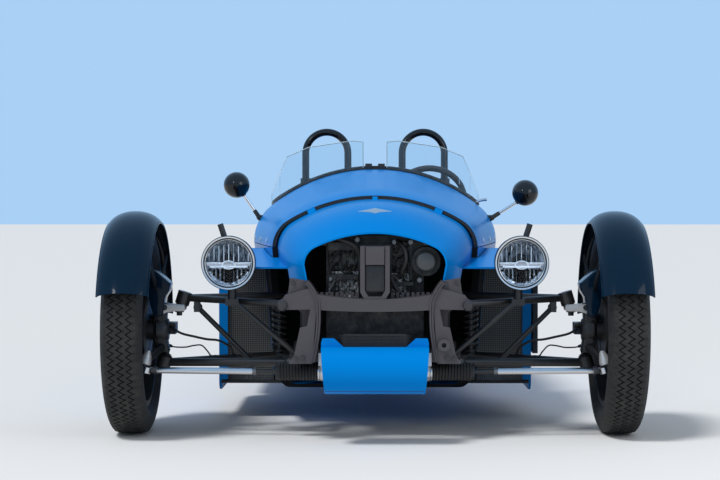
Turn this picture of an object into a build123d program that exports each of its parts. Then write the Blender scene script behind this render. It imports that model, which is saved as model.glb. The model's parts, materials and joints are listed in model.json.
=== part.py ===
# A three wheeled open sports car: two steered wheels in front, one driven wheel in the tail.
# Millimetres, +Z up, the nose points to -Y, the driver sits on the +X side.
# Modelled with y = 0 at the front axle, then moved so that the origin is the middle of the footprint.
import math
import os

from build123d import *

# Overall size and wheels
LENGTH = 3581
WIDTH = 1850
HEIGHT = 1132
FRONT_OVERHANG = 420
WHEELBASE = 2520
WHEEL_TRACK = 1684
FRONT_TYRE_RADIUS = 360
FRONT_TYRE_WIDTH = 138
FRONT_RIM_RADIUS = 254
FRONT_RIM_WIDTH = 104
REAR_TYRE_RADIUS = 317
REAR_TYRE_WIDTH = 195
REAR_RIM_RADIUS = 190
REAR_RIM_WIDTH = 168
RIM_FLANGE = 13
RIM_WALL = 6

# Body form, one row a station from the vent behind the nose to the tail
# Columns: y, half width, spring line of the arch, crown, half width at the foot, bottom
BODY_STATIONS = [
    (150, 366, 640, 827, 330, 130),
    (600, 437, 643, 888, 400, 130),
    (1050, 490, 645, 935, 440, 130),
    (1550, 503, 635, 925, 450, 133),
    (1950, 478, 612, 882, 428, 148),
    (2350, 425, 580, 825, 370, 185),
    (2750, 350, 545, 752, 290, 245),
    (3050, 270, 520, 680, 210, 302),
    (3161, 215, 510, 632, 160, 325),
]
TAIL_END_Y = BODY_STATIONS[-1][0]
SHOULDER_SHARE = 0.62
SILL_RADIUS = 40
SKIN = 6
TUB_WALL = 25
FLOOR_THICKNESS = 12
PANEL_GAP = 3
PIN_FIT = 0.05

# Nose panel, one row a station from the lip of the oval mouth to the vent
# Columns: y, half width, spring line of the arch, crown
NOSE_STATIONS = [
    (-250, 242, 593, 703),
    (-140, 290, 597, 762),
    (0, 327, 615, 797),
    (150, 346, 640, 814),
]
NOSE_BOTTOM = 540
NOSE_REAR_BOTTOM = 600
SHELF_FRONT_Y = -100
SHELF_FRONT_Z = 581
SHELF_REAR_Z = 633
SHELF_HALF = 560
SHELF_FRONT_HALF = 420
SHELF_INNER = 250
VENT_DEPTH = 40
LINING = 3
LINING_SETBACK = 12

# Stations along the car
HULL_FRONT_Y = 260
HULL_CHEEK_Z = 575
BULKHEAD_Y = 450
SCUTTLE_Y = 1050
SHUT_Z = 642
COCKPIT_FRONT_Y = 1130
COCKPIT_REAR_Y = 1740
COCKPIT_HALF = 412
COCKPIT_CORNER = 120
MOUTH_FLOOR_Z = 700
TUB_REAR_Y = 1950

# Front suspension: hard points as distances from the centre line, the axle and the ground
KINGPIN_TOP = (666, 0, 470)
KINGPIN_FOOT = (735, 0, 245)
UPPER_PIVOT_FRONT = (308, -190, 460)
UPPER_PIVOT_REAR = (300, 170, 472)
LOWER_PIVOT_FRONT = (292, -95, 255)
LOWER_PIVOT_REAR = (292, 230, 255)
STEERING_ARM_END = (783, -130, 262)
TIE_ROD_Z = 230
RACK_Y = -165
RACK_Z = 228
RACK_RADIUS = 22
BOOT_INNER_X = 186
BOOT_OUTER_X = 337
BOOT_RADIUS = 36
BOOT_BORE = 25
BOOT_CREASE = 29
BOOT_CUFF = 8
BOOT_FOLDS = 9
ARM_TUBE = 14
UPPER_TUBE = 12

# Headlamps
LAMP_X = 494
LAMP_Y = -205
LAMP_Z = 598
LAMP_RADIUS = 91
LAMP_DEPTH = 150
LAMP_WALL = 6
LAMP_RIM = 30
LAMP_POLE = 12
MARKER_LEAN = 18

# Front casting
CASTING_FRONT_Y = -300
LEG_INNER_X = 185
LEG_DEPTH = 95
BEAM_TOP_Z = 496
BEAM_TOP_DROP = 16
BEAM_LOW_DROP = 6
BEAM_HEIGHT = 51
CASTING_WALL = 12
FOOT_Z = 266

# Chin panel under the casting
CHIN_TOP_Z = 324
CHIN_BOTTOM_Z = 171
CHIN_BULGE_Z = 252
CHIN_HALF_TOP = 180
CHIN_HALF_BOTTOM = 165
CHIN_EAR_Z = 352
CHIN_NOTCH_HALF = 104
CHIN_EAR_HALF = 136
GRILLE_TOP_Z = 366

# Side pods and their outer plates
POD_INNER_X = 372
POD_OUTER_X = 572
POD_FRONT_Y = 430
POD_REAR_Y = 1010
POD_BOTTOM_Z = 130
POD_WALL = 8
BLADE_X = 580
BLADE_THICKNESS = 8
BLADE_REAR_Y = 1130
BLADE_BOTTOM_Z = 104
BLADE_TOP_Z = 606

# Cockpit
SEAT_X = 235
SEAT_WIDTH = 304
SEAT_LENGTH = 460
SEAT_PAD = 110
SEAT_BACK_PAD = 90
SEAT_CUSHION = (1500, 254)
SEAT_BACK = (1805, 522)
SEAT_TILT = 8
SEAT_BACK_TILT = 14
SEAT_CORNER = 30
HOOP_Y = 1800
HOOP_WIDTH = 220
HOOP_TUBE = 32
STEERING_X = 225
STEERING_CENTRE = (1265, 806)
STEERING_RADIUS = 150
STEERING_TILT = 24
RIM_TUBE = 13

# Tail
LID_FRONT_Y = 2290
LID_REAR_Y = 2880
LID_HALF = 190
LID_CORNER = 60
LID_FLOOR_Z = 690
LID_GAP = 5
LID_HINGE_Z = 846
HINGE_X = 110
HINGE_RADIUS = 8
HINGE_PIN = 4
TAIL_CUT_Y = 2120
TAIL_FRONT_Z = 330
TAIL_MIDDLE_Z = 400
TAIL_BOTTOM_Z = 440

# Suspension fittings
BUSH_RADIUS = 18
BUSH_BORE = 7
BUSH_LENGTH = 34
BALL_RADIUS = 25
BALL_HEIGHT = 42
BALL_GAP = 14
STUD_RADIUS = 8
RAIL_X = 262
RAIL_WIDTH = 34
LOWER_RAIL_Z = (268, 300)
UPPER_RAIL_Z = (452, 484)
CROSS_Y = 60
PULL_ROD_TOP = (618, 0, 436)
PULL_ROD_FOOT = (425, 0, 243)
DAMPER_X = 336
DAMPER_Y = 62
DAMPER_FOOT_Z = 272
DAMPER_TOP_Z = 448
SPRING_RADIUS = 22
SPRING_WIRE = 5
SPRING_TURNS = 7
ROD_AXIS = (-0.293, 0.09, 0.956)
TIE_ROD_RADIUS = 11
ROD_THIN_RADIUS = 7
ROD_STEP = 0.72
ROD_GAP = 8
RACK_HALF = 246
RACK_BAR_RADIUS = 12
SOCKET_RADIUS = 16
PINION_X = 120

# Front hub, brake and wing
HUB_FACE_X = 762
SPINDLE_RADIUS = 18
SPINDLE_END = 10
HUB_RADIUS = 32
DISC_X = 790
DISC_RADIUS = 128
DISH_IN = -6
DISH_OUT = 26
SLOT_RING = 0.78
SLOT_COUNT = 16
FENDER_RADIUS = 413
FENDER_EDGE_RADIUS = 396
FENDER_SKIN = 4
FENDER_INNER_X = 752
FENDER_OUTER_X = WIDTH / 2
FENDER_FRONT_ANGLE = 23
FENDER_REAR_ANGLE = 5
FENDER_STAYS = (42, 138)
STAY_ROOT = 30
STAY_ROOT_Z = 430
STAY_TIP = 34
STAY_BASE = 16
STAY_THICKNESS = 7

# Casting details and what it carries
EAR_X = 308
EAR_Z = 460
EAR_RADIUS = 18
FLANGE_WIDTH = 13
FLANGE_BOW = 0.62
FLANGE_PATH = ((227, 538), (189, 473), (190, 371), (208, 272))
LEG_OUTLINE = (
    (194, 452),
    (200, 371),
    (206, 298),
    (214, 266),
    (286, 266),
    (268, 296),
    (262, 327),
    (249, 386),
    (226, 391),
    (214, 452),
)
EAR_OUTLINE = ((216, 518), (300, 493), (314, 470), (314, 450), (296, 445), (190, 447), (190, 474))
WING_OUTLINE = ((228, 541), (283, 551), (291, 490), (214, 508))
BACK_OUTLINE = (
    (190, 266),
    (266, 266),
    (266, 306),
    (244, 330),
    (244, 430),
    (266, 448),
    (266, 488),
    (222, 512),
    (190, 500),
)
PLATE_DEPTH = 12
LUG_COUNT = 22
LUG_PITCH = 17
LOOP_HALF = 49
LOOP_BAR = 15
LOOP_DEPTH = 40
LOOP_TOP_Z = 657
LOOP_BOTTOM_Z = 474
ENGINE_HALF = 165
ENGINE_FRONT_Y = -160
ENGINE_REAR_Y = 400
ENGINE_BOTTOM_Z = 284
ENGINE_TOP_Z = 690
CAP_X = 172
CAP_Z = 603
CAP_RADIUS = 35
LAMP_STALK_Z = 466
TOW_X = 228
TOW_Z = 330
TOW_RADIUS = 8
TOW_DEPTH = 26

# Pods, blades and luggage rack bolts
POD_REAR_TOP_Z = 590
RACK_BOLTS_Y = 420
RACK_BOLTS_Z = 200
RACK_BOLT_RADIUS = 4.5
RACK_RISE = 20
BLADE_CORNER = 40
BLADE_LIP = 24
BOARD_GAP = 16
BOARD_THICKNESS = 18
BOARD_LENGTH = 500
BOARD_HEIGHT = 262
BOARD_CORNER = 14
BOARD_DROP = 12

# Tail running gear
PIVOT_Y = 2070
PIVOT_Z = 318
PIVOT_PIN = 12
ARM_X = 168
ARM_LEG_RADIUS = 22
REAR_AXLE_RADIUS = 14
REAR_HUB_HALF = 102
PULLEY_X = 124
PULLEY_RADIUS = 112
FRONT_PULLEY_RADIUS = 56
BELT_WIDTH = 26
BELT_THICKNESS = 6
BELT_GAP = 0.5
DAMPER_REAR_TOP_Z = 640
GUARD_GAP = 40
TAIL_LAMP_X = 130
TAIL_LAMP_Z = 545
TAIL_PLATE_Z = 372
EXHAUST_X = 530
EXHAUST_Z = 232
EXHAUST_START_Y = 800
EXHAUST_BOX_Y = 1200
EXHAUST_END_Y = 1900

# Cockpit fittings
FLOOR_TOP = 130 + FLOOR_THICKNESS
SCREEN_Y = 1062
SCREEN_THICKNESS = 5
SCREEN_OUTLINE = ((40, 700), (40, 1050), (90, 1056), (270, 1030), (362, 992), (440, 820), (440, 700))
HOOP_X = 215
HOOP_FOOT_Z = 850
MIRROR_Y = 1010
MIRROR_RADIUS = 52
MIRROR_BASE = (462, 735)
MIRROR_HEADS = ((-1, 559, 873), (1, 606, 841))
SHAFT_RADIUS = 11
SHAFT_OUT = 120
COLUMN_LENGTH = 190
DASH_Y = 1060
DASH_BOTTOM_Z = 660
DASH_DIAL_Z = 800
TRIM_RISE = 14
PEDAL_Y = 620
PEDAL_XS = (140, 222, 304)

FRONT_WHEEL_X = WHEEL_TRACK / 2
ORIGIN_Y = LENGTH / 2 - FRONT_OVERHANG


def block(x, y, z):
    return Pos((x[0] + x[1]) / 2, (y[0] + y[1]) / 2, (z[0] + z[1]) / 2) * Box(
        x[1] - x[0], y[1] - y[0], z[1] - z[0]
    )


def between(start, end, share):
    return tuple(a + share * (b - a) for a, b in zip(start, end))


def rod(start, end, radius):
    start, end = Vector(*start), Vector(*end)
    plane = Plane(origin=start, z_dir=end - start)
    return plane * Cylinder(radius, (end - start).length, align=(Align.CENTER, Align.CENTER, Align.MIN))


def pair(shape):
    return shape + mirror(shape, about=Plane.YZ)


def side_profile(points):
    # Closed outline of (y, z) points, as a face in the plane x = 0
    return make_face(Polyline([(0, y, z) for y, z in points], close=True))


def along_x(face, low, high):
    return Pos(low, 0, 0) * extrude(face, amount=high - low, dir=(1, 0, 0))


def turned(profile, centre, arc=360):
    # Revolves an outline of (x, radius) points or edges about the line along X through centre
    face = make_face(profile) if not isinstance(profile, Face) else profile
    return Pos(*centre) * revolve(face, axis=Axis.X, revolution_arc=arc)


def corner_arc(half, rise, share=SHOULDER_SHARE):
    # Shoulder and crown radii of a two-radius arch, and the angle where they meet
    shoulder = share * rise
    crown = ((half - shoulder) ** 2 + rise**2 - shoulder**2) / (2 * (rise - shoulder))
    return shoulder, crown, math.acos((half - shoulder) / (crown - shoulder))


def arch_edges(y, half, spring, crown_z):
    rise = crown_z - spring
    shoulder, crown, angle = corner_arc(half, rise)
    knee = (half - shoulder + shoulder * math.cos(angle), spring + shoulder * math.sin(angle))
    mid = (
        half - shoulder + shoulder * math.cos(angle / 2),
        spring + shoulder * math.sin(angle / 2),
    )
    right = ThreePointArc((half, y, spring), (mid[0], y, mid[1]), (knee[0], y, knee[1]))
    over = ThreePointArc((knee[0], y, knee[1]), (0, y, crown_z), (-knee[0], y, knee[1]))
    left = ThreePointArc((-knee[0], y, knee[1]), (-mid[0], y, mid[1]), (-half, y, spring))
    return [right, over, left]


def body_wire(station, inset=0.0, floor=0.0):
    y, half, spring, crown_z, foot, bottom = station
    half, foot, crown_z, bottom = half - inset, foot - inset, crown_z - inset, bottom + floor
    radius = SILL_RADIUS
    turn = radius * (1 - math.sqrt(0.5))
    sides = []
    for s in (-1, 1):
        sides.append(
            (
                Line((s * half, y, spring), (s * foot, y, bottom + radius)),
                ThreePointArc(
                    (s * foot, y, bottom + radius),
                    (s * (foot - turn), y, bottom + turn),
                    (s * (foot - radius), y, bottom),
                ),
            )
        )
    base = Line((-(foot - radius), y, bottom), (foot - radius, y, bottom))
    return Wire([*arch_edges(y, half, spring, crown_z), *sides[0], base, *sides[1]])


def body_solid(inset=0.0, floor=0.0):
    return Solid.make_loft([body_wire(s, inset, floor) for s in BODY_STATIONS])


def nose_wire(station, bottom, inset=0.0):
    y, half, spring, crown_z = station
    half, crown_z = half - inset, crown_z - inset
    foot = half - 10
    return Wire(
        [
            *arch_edges(y, half, spring, crown_z),
            Line((-half, y, spring), (-foot, y, bottom)),
            Line((-foot, y, bottom), (foot, y, bottom)),
            Line((foot, y, bottom), (half, y, spring)),
        ]
    )


def nose_solid(bottom, inset=0.0):
    return Solid.make_loft([nose_wire(s, bottom, inset) for s in NOSE_STATIONS])


OUTSIDE = body_solid()
UNDER_SKIN = body_solid(SKIN)
TUB_ROOM = body_solid(TUB_WALL, FLOOR_THICKNESS)


# Body shell: the hull carries the cockpit, the bonnet lies on its front, the tail on its back
def hull():
    first, last = BODY_STATIONS[0][0], BODY_STATIONS[-1][0]
    shell = OUTSIDE & block((-WIDTH, WIDTH), (first, TUB_REAR_Y), (0, HEIGHT))
    engine_bay = TUB_ROOM & block((-WIDTH, WIDTH), (first - 1, BULKHEAD_Y - TUB_WALL), (0, HEIGHT))
    cockpit = TUB_ROOM & block((-WIDTH, WIDTH), (BULKHEAD_Y, TUB_REAR_Y - TUB_WALL), (0, HEIGHT))
    under_bonnet = block((-WIDTH, WIDTH), (first - 1, SCUTTLE_Y), (SHUT_Z, HEIGHT))
    ahead = block((-WIDTH, WIDTH), (first - 1, HULL_FRONT_Y), (0, HULL_CHEEK_Z))
    outline = RectangleRounded(2 * COCKPIT_HALF, COCKPIT_REAR_Y - COCKPIT_FRONT_Y, COCKPIT_CORNER)
    mouth = Pos(0, (COCKPIT_FRONT_Y + COCKPIT_REAR_Y) / 2, MOUTH_FLOOR_Z) * extrude(
        outline, amount=HEIGHT - MOUTH_FLOOR_Z
    )
    return shell - engine_bay - cockpit - under_bonnet - ahead - mouth


def bonnet():
    first = BODY_STATIONS[0][0]
    space = block((-WIDTH, WIDTH), (first - 5, SCUTTLE_Y - PANEL_GAP), (SHUT_Z + PANEL_GAP, HEIGHT))
    return (OUTSIDE & space) - UNDER_SKIN


def vent_band():
    first = BODY_STATIONS[0][0]
    space = block((-WIDTH, WIDTH), (first - 5, first + VENT_DEPTH), (SHUT_Z + PANEL_GAP, HEIGHT))
    return (body_solid(SKIN + 1) & space) - body_solid(2 * SKIN + 1)


def nose_cowl():
    shell = nose_solid(NOSE_BOTTOM) - nose_solid(NOSE_BOTTOM - 1, SKIN)
    last = NOSE_STATIONS[-1][0] - PANEL_GAP
    shell &= block((-WIDTH, WIDTH), (NOSE_STATIONS[0][0], last), (0, HEIGHT))
    under = side_profile(
        [(SHELF_FRONT_Y, 0), (SHELF_FRONT_Y, SHELF_FRONT_Z), (last, NOSE_REAR_BOTTOM), (last, 0)]
    )
    shell -= along_x(under, -WIDTH, WIDTH)
    slope = (SHELF_REAR_Z - SHELF_FRONT_Z) / (POD_FRONT_Y - SHELF_FRONT_Y)
    rise = slope * (POD_FRONT_Y - PANEL_GAP - SHELF_FRONT_Y)
    wing = side_profile(
        [
            (SHELF_FRONT_Y, SHELF_FRONT_Z - SKIN),
            (SHELF_FRONT_Y, SHELF_FRONT_Z),
            (POD_FRONT_Y - PANEL_GAP, SHELF_FRONT_Z + rise),
            (POD_FRONT_Y - PANEL_GAP, SHELF_FRONT_Z + rise - SKIN),
        ]
    )
    plan = make_face(
        Polyline(
            [
                (SHELF_INNER, SHELF_FRONT_Y),
                (SHELF_FRONT_HALF, SHELF_FRONT_Y),
                (SHELF_HALF, POD_FRONT_Y - PANEL_GAP),
                (SHELF_INNER, POD_FRONT_Y - PANEL_GAP),
            ],
            close=True,
        )
    )
    shelf = along_x(wing, 0, WIDTH) & extrude(plan, amount=HEIGHT)
    shelf -= nose_solid(0, SKIN / 2)
    shelf -= body_solid(-PANEL_GAP)
    return shell + shelf + mirror(shelf, about=Plane.YZ)


def bay_liner():
    # Black lining under the nose panel, behind the oval mouth
    lining = nose_solid(NOSE_BOTTOM - 1, SKIN) - nose_solid(NOSE_BOTTOM - 2, SKIN + LINING)
    reach = (NOSE_STATIONS[0][0] + LINING_SETBACK, NOSE_STATIONS[-1][0] - 1)
    lining &= block((-WIDTH, WIDTH), reach, (0, HEIGHT))
    under = side_profile(
        [
            (NOSE_STATIONS[0][0], NOSE_BOTTOM + LINING),
            (SHELF_FRONT_Y, SHELF_FRONT_Z),
            (NOSE_STATIONS[-1][0], NOSE_REAR_BOTTOM),
            (NOSE_STATIONS[-1][0], 0),
            (NOSE_STATIONS[0][0], 0),
        ]
    )
    return lining - along_x(under, -WIDTH, WIDTH)


def tail_profile():
    # What the tail keeps, seen from the side: its lower edge rises behind the rear wheel's axle
    return side_profile(
        [
            (TUB_REAR_Y + PANEL_GAP, 0),
            (TUB_REAR_Y + PANEL_GAP, HEIGHT),
            (LENGTH, HEIGHT),
            (LENGTH, TAIL_BOTTOM_Z),
            (WHEELBASE, TAIL_MIDDLE_Z),
            (TAIL_CUT_Y, TAIL_FRONT_Z),
            (TAIL_CUT_Y - 60, 0),
        ]
    )


def lid_plan(gap=0.0):
    width = 2 * (LID_HALF + gap)
    long = LID_REAR_Y - LID_FRONT_Y + 2 * gap
    outline = RectangleRounded(width, long, LID_CORNER)
    return Pos(0, (LID_REAR_Y + LID_FRONT_Y) / 2, LID_FLOOR_Z) * extrude(outline, amount=HEIGHT - LID_FLOOR_Z)


def tail_shell():
    room = UNDER_SKIN & block((-WIDTH, WIDTH), (TUB_REAR_Y, TAIL_END_Y - SKIN), (0, HEIGHT))
    shell = (OUTSIDE & along_x(tail_profile(), -WIDTH, WIDTH)) - room
    return shell - lid_plan(LID_GAP) + lid_hinges()


def boot_lid():
    skin = (OUTSIDE & lid_plan()) - UNDER_SKIN
    low, high = HINGE_X - 8, HINGE_X + 8
    arm = pair(block((low, high), (LID_FRONT_Y + 2, LID_FRONT_Y + 30), (LID_HINGE_Z - 34, LID_HINGE_Z)))
    eye = pair(rod((low, LID_FRONT_Y, LID_HINGE_Z), (high, LID_FRONT_Y, LID_HINGE_Z), HINGE_RADIUS))
    arm = arm - OUTSIDE
    bore = rod((-WIDTH, LID_FRONT_Y, LID_HINGE_Z), (WIDTH, LID_FRONT_Y, LID_HINGE_Z), HINGE_PIN + PIN_FIT)
    return skin + arm + eye - bore


def lid_hinges():
    both = []
    for s in (-1, 1):
        pin = rod(
            (s * HINGE_X - 26, LID_FRONT_Y, LID_HINGE_Z),
            (s * HINGE_X + 26, LID_FRONT_Y, LID_HINGE_Z),
            HINGE_PIN,
        )
        for t in (-1, 1):
            low, high = sorted((s * HINGE_X + t * 9, s * HINGE_X + t * 26))
            ear = rod((low, LID_FRONT_Y, LID_HINGE_Z), (high, LID_FRONT_Y, LID_HINGE_Z), HINGE_RADIUS)
            foot = block((low, high), (LID_FRONT_Y - 40, LID_FRONT_Y), (LID_HINGE_Z - 45, LID_HINGE_Z - 3))
            pin = pin + ear + (foot - OUTSIDE)
        both.append(pin)
    return both[0] + both[1]


# Front frame, castings and suspension
def engine_block():
    core = block(
        (-ENGINE_HALF, ENGINE_HALF), (ENGINE_FRONT_Y, ENGINE_REAR_Y), (ENGINE_BOTTOM_Z, ENGINE_TOP_Z)
    )
    core = chamfer(core.edges().filter_by(Axis.Y), 30)
    cover = Pos(0, ENGINE_FRONT_Y - 8, ENGINE_TOP_Z - 90) * Box(250, 16, 120)
    cap_base = rod((CAP_X, ENGINE_FRONT_Y - 34, CAP_Z), (CAP_X, ENGINE_FRONT_Y, CAP_Z), CAP_RADIUS + 14)
    cap = rod((CAP_X, ENGINE_FRONT_Y - 52, CAP_Z), (CAP_X, ENGINE_FRONT_Y - 34, CAP_Z), CAP_RADIUS)
    return core + cover + cap_base + cap


def front_outline(points, front, back):
    # A plate seen from the front: (x, z) points, between two stations along the car
    face = make_face(Polyline([(x, 0, z) for x, z in points], close=True))
    return Pos(0, front, 0) * extrude(face, amount=back - front, dir=(0, 1, 0))


def flange_strip(width, front, back):
    # The curved edge rib that runs from the nose bracket down the leg to the foot
    top, shoulder, shin, toe = FLANGE_PATH
    bow = (top[0] + FLANGE_BOW * (shoulder[0] - top[0]), (top[1] + shoulder[1]) / 2)
    path = ThreePointArc(top, bow, shoulder) + ThreePointArc(shoulder, shin, toe)
    strip = extrude(trace(path, width), amount=back - front)
    return Pos(0, back, 0) * Rot(90, 0, 0) * strip


def casting_legs():
    # One leg a side: curved flange, ear with its boss, wing, and plates in front and behind
    front, back = CASTING_FRONT_Y, CASTING_FRONT_Y + LEG_DEPTH
    half = flange_strip(FLANGE_WIDTH, front, back)
    half -= flange_strip(FLANGE_WIDTH / 4, front - 1, front + 4)
    half += front_outline(EAR_OUTLINE, front + 8, back - 20)
    half += front_outline(WING_OUTLINE, front + 30, front + 30 + PLATE_DEPTH)
    half += front_outline(LEG_OUTLINE, front + 6, front + 6 + PLATE_DEPTH)
    half += front_outline(BACK_OUTLINE, back - 20, back)
    half += block((FLANGE_PATH[-1][0], LEG_OUTLINE[4][0]), (front + 6, back), (FOOT_Z, FOOT_Z + PLATE_DEPTH))
    half += rod((EAR_X, front, EAR_Z), (EAR_X, back - 20, EAR_Z), EAR_RADIUS)
    return pair(half)


def casting_beam():
    # The bowed bar between the legs, hollow from below, with a row of lugs under the engine
    front, back = CASTING_FRONT_Y, CASTING_FRONT_Y + LEG_DEPTH
    low_z = BEAM_TOP_Z - BEAM_HEIGHT
    side = LEG_INNER_X + FLANGE_WIDTH / 2
    top = ThreePointArc((-side, 0, BEAM_TOP_Z), (0, 0, BEAM_TOP_Z - BEAM_TOP_DROP), (side, 0, BEAM_TOP_Z))
    low = ThreePointArc((side, 0, low_z), (0, 0, low_z - BEAM_LOW_DROP), (-side, 0, low_z))
    ends = [Line((s * side, 0, BEAM_TOP_Z), (s * side, 0, low_z)) for s in (-1, 1)]
    beam = Pos(0, front + 4, 0) * extrude(make_face([top, low, *ends]), amount=LEG_DEPTH - 4, dir=(0, 1, 0))
    beam -= block((-LEG_INNER_X, LEG_INNER_X), (front + CASTING_WALL, back - 20), (0, low_z + CASTING_WALL))
    for i in range(LUG_COUNT):
        x = (i - (LUG_COUNT - 1) / 2) * LUG_PITCH
        if abs(x) > LOOP_HALF + 10:
            beam += block((x - 5, x + 5), (back - 20, back), (BEAM_TOP_Z - 40, BEAM_TOP_Z + 4))
    return beam - casting_legs()


def engine_loop():
    outer = loop_outline(LOOP_HALF, LOOP_BOTTOM_Z)
    inner = loop_outline(LOOP_HALF - LOOP_BAR, LOOP_BOTTOM_Z + LOOP_BAR)
    front = CASTING_FRONT_Y + 12
    ring = Pos(0, front, 0) * extrude(outer - inner, amount=LOOP_DEPTH, dir=(0, 1, 0))
    inner = LOOP_HALF - LOOP_BAR
    pad = block((-inner, inner), (front + 8, front + 22), (LOOP_TOP_Z - 62, LOOP_TOP_Z))
    web = block(
        (-inner, inner), (front + 20, front + 26), (LOOP_BOTTOM_Z + 30, LOOP_TOP_Z - 62)
    )
    stay = block((-20, 20), (front + 26, ENGINE_FRONT_Y - 16), (LOOP_TOP_Z - 110, LOOP_TOP_Z - 80))
    return ring + pad + web + stay - casting_beam()


def loop_outline(half, bottom):
    corner = half * 0.6
    return make_face(
        Polyline(
            [
                (-half, 0, LOOP_TOP_Z),
                (-half, 0, bottom + corner),
                (-half + corner * 0.6, 0, bottom),
                (half - corner * 0.6, 0, bottom),
                (half, 0, bottom + corner),
                (half, 0, LOOP_TOP_Z),
            ],
            close=True,
        )
    )


def front_frame():
    rails = []
    for low, high in (LOWER_RAIL_Z, UPPER_RAIL_Z):
        rails.append(
            block(
                (RAIL_X - RAIL_WIDTH, RAIL_X),
                (CASTING_FRONT_Y + LEG_DEPTH, BULKHEAD_Y - TUB_WALL),
                (low, high),
            )
        )
    post = block((RAIL_X - RAIL_WIDTH, RAIL_X), (40, 70), (LOWER_RAIL_Z[1], UPPER_RAIL_Z[0]))
    mounts = []
    for pivot in (LOWER_PIVOT_FRONT, LOWER_PIVOT_REAR, UPPER_PIVOT_REAR):
        x, y, z = pivot
        for t in (-1, 1):
            low, high = sorted((y + t * (BUSH_LENGTH / 2 + 0.5), y + t * (BUSH_LENGTH / 2 + 7)))
            rail_z = LOWER_RAIL_Z if z < 400 else UPPER_RAIL_Z
            ends = (min(z - 13, rail_z[0]), max(z + 13, rail_z[1]))
            boss = rod((x, low, z), (x, high, z), BUSH_RADIUS - 2)
            mounts.append(boss + block((RAIL_X, x), (low, high), ends))
        mounts.append(rod((x, y - BUSH_LENGTH, z), (x, y + BUSH_LENGTH, z), BUSH_BORE))
    rail = rails[0] + rails[1] + post + mounts
    cross = block(
        (-RAIL_X + RAIL_WIDTH, RAIL_X - RAIL_WIDTH),
        (CROSS_Y, CROSS_Y + 24),
        (LOWER_RAIL_Z[0], ENGINE_BOTTOM_Z),
    )
    return pair(rail) + cross - upper_wishbones() - lower_wishbones()


def bush(pivot):
    x, y, z = pivot
    return rod((x, y - BUSH_LENGTH / 2, z), (x, y + BUSH_LENGTH / 2, z), BUSH_RADIUS)


def bush_hole(pivot):
    x, y, z = pivot
    return rod((x, y - BUSH_LENGTH, z), (x, y + BUSH_LENGTH, z), BUSH_BORE)


def kingpin_point(z):
    share = (z - KINGPIN_FOOT[2]) / (KINGPIN_TOP[2] - KINGPIN_FOOT[2])
    return between(KINGPIN_FOOT, KINGPIN_TOP, share)


def kingpin_rod(low, high, radius):
    return rod(kingpin_point(low), kingpin_point(high), radius)


def wishbone(ball, pivots, tube):
    housing = kingpin_rod(ball[2] - BALL_HEIGHT / 2, ball[2] + BALL_HEIGHT / 2, BALL_RADIUS)
    arm = housing
    for pivot in pivots:
        arm += rod(ball, pivot, tube) + bush(pivot)
    for pivot in pivots:
        arm -= bush_hole(pivot)
    return arm - kingpin_rod(ball[2] - 60, ball[2] + 60, STUD_RADIUS + PIN_FIT)


def upper_wishbones():
    arm = wishbone(KINGPIN_TOP, (UPPER_PIVOT_FRONT, UPPER_PIVOT_REAR), UPPER_TUBE)
    x, y, z = PULL_ROD_TOP
    lug = block((x - 10, x + 10), (y - 30, y + 6), (z - 14, z + 34))
    return pair(arm + lug)


def lower_wishbones():
    return pair(wishbone(KINGPIN_FOOT, (LOWER_PIVOT_FRONT, LOWER_PIVOT_REAR), ARM_TUBE))


def pull_rods():
    x, y, z = PULL_ROD_TOP
    start, end = (x, y + 16, z), (PULL_ROD_FOOT[0], y + 16, PULL_ROD_FOOT[2])
    bar = rod(start, end, 9) + rod((x, y + 6, z), (x, y + 26, z), 15)
    eye = rod((end[0], y + 4, end[2]), (end[0], y + 28, end[2]), 15)
    rocker = block((DAMPER_X - 12, end[0]), (y + 29, y + 39), (PULL_ROD_FOOT[2] - 12, PULL_ROD_FOOT[2] + 16))
    pivot = block((RAIL_X, DAMPER_X - 12), (y + 24, y + 44), (PULL_ROD_FOOT[2] - 8, PULL_ROD_FOOT[2] + 26))
    tip = rod((end[0], y + 28, end[2]), (end[0], y + 41, end[2]), 10)
    return pair(bar + eye + rocker + pivot + tip)


def dampers():
    y = DAMPER_Y
    body = rod((DAMPER_X, y, DAMPER_FOOT_Z), (DAMPER_X, y, DAMPER_TOP_Z), 13)
    seats = rod((DAMPER_X, y, DAMPER_FOOT_Z + 8), (DAMPER_X, y, DAMPER_FOOT_Z + 14), 25)
    top = rod((DAMPER_X, y, DAMPER_TOP_Z - 8), (DAMPER_X, y, DAMPER_TOP_Z), 25)
    arm = block((RAIL_X, DAMPER_X), (y - 14, y + 14), (DAMPER_TOP_Z, DAMPER_TOP_Z + 12))
    foot = block(
        (DAMPER_X - 10, DAMPER_X + 10),
        (PULL_ROD_TOP[1] + 39, y + 8),
        (DAMPER_FOOT_Z - 20, DAMPER_FOOT_Z),
    )
    return pair(body + seats + top + arm + foot)


def springs():
    low, high = DAMPER_FOOT_Z + 14 + SPRING_WIRE, DAMPER_TOP_Z - 8 - SPRING_WIRE
    coil = Helix(pitch=(high - low) / SPRING_TURNS, height=high - low, radius=SPRING_RADIUS)
    wire = Plane(origin=coil @ 0, z_dir=coil % 0) * Circle(SPRING_WIRE)
    spring = Pos(DAMPER_X, DAMPER_Y, low) * sweep(wire, path=coil, is_frenet=True)
    return pair(spring)


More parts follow.
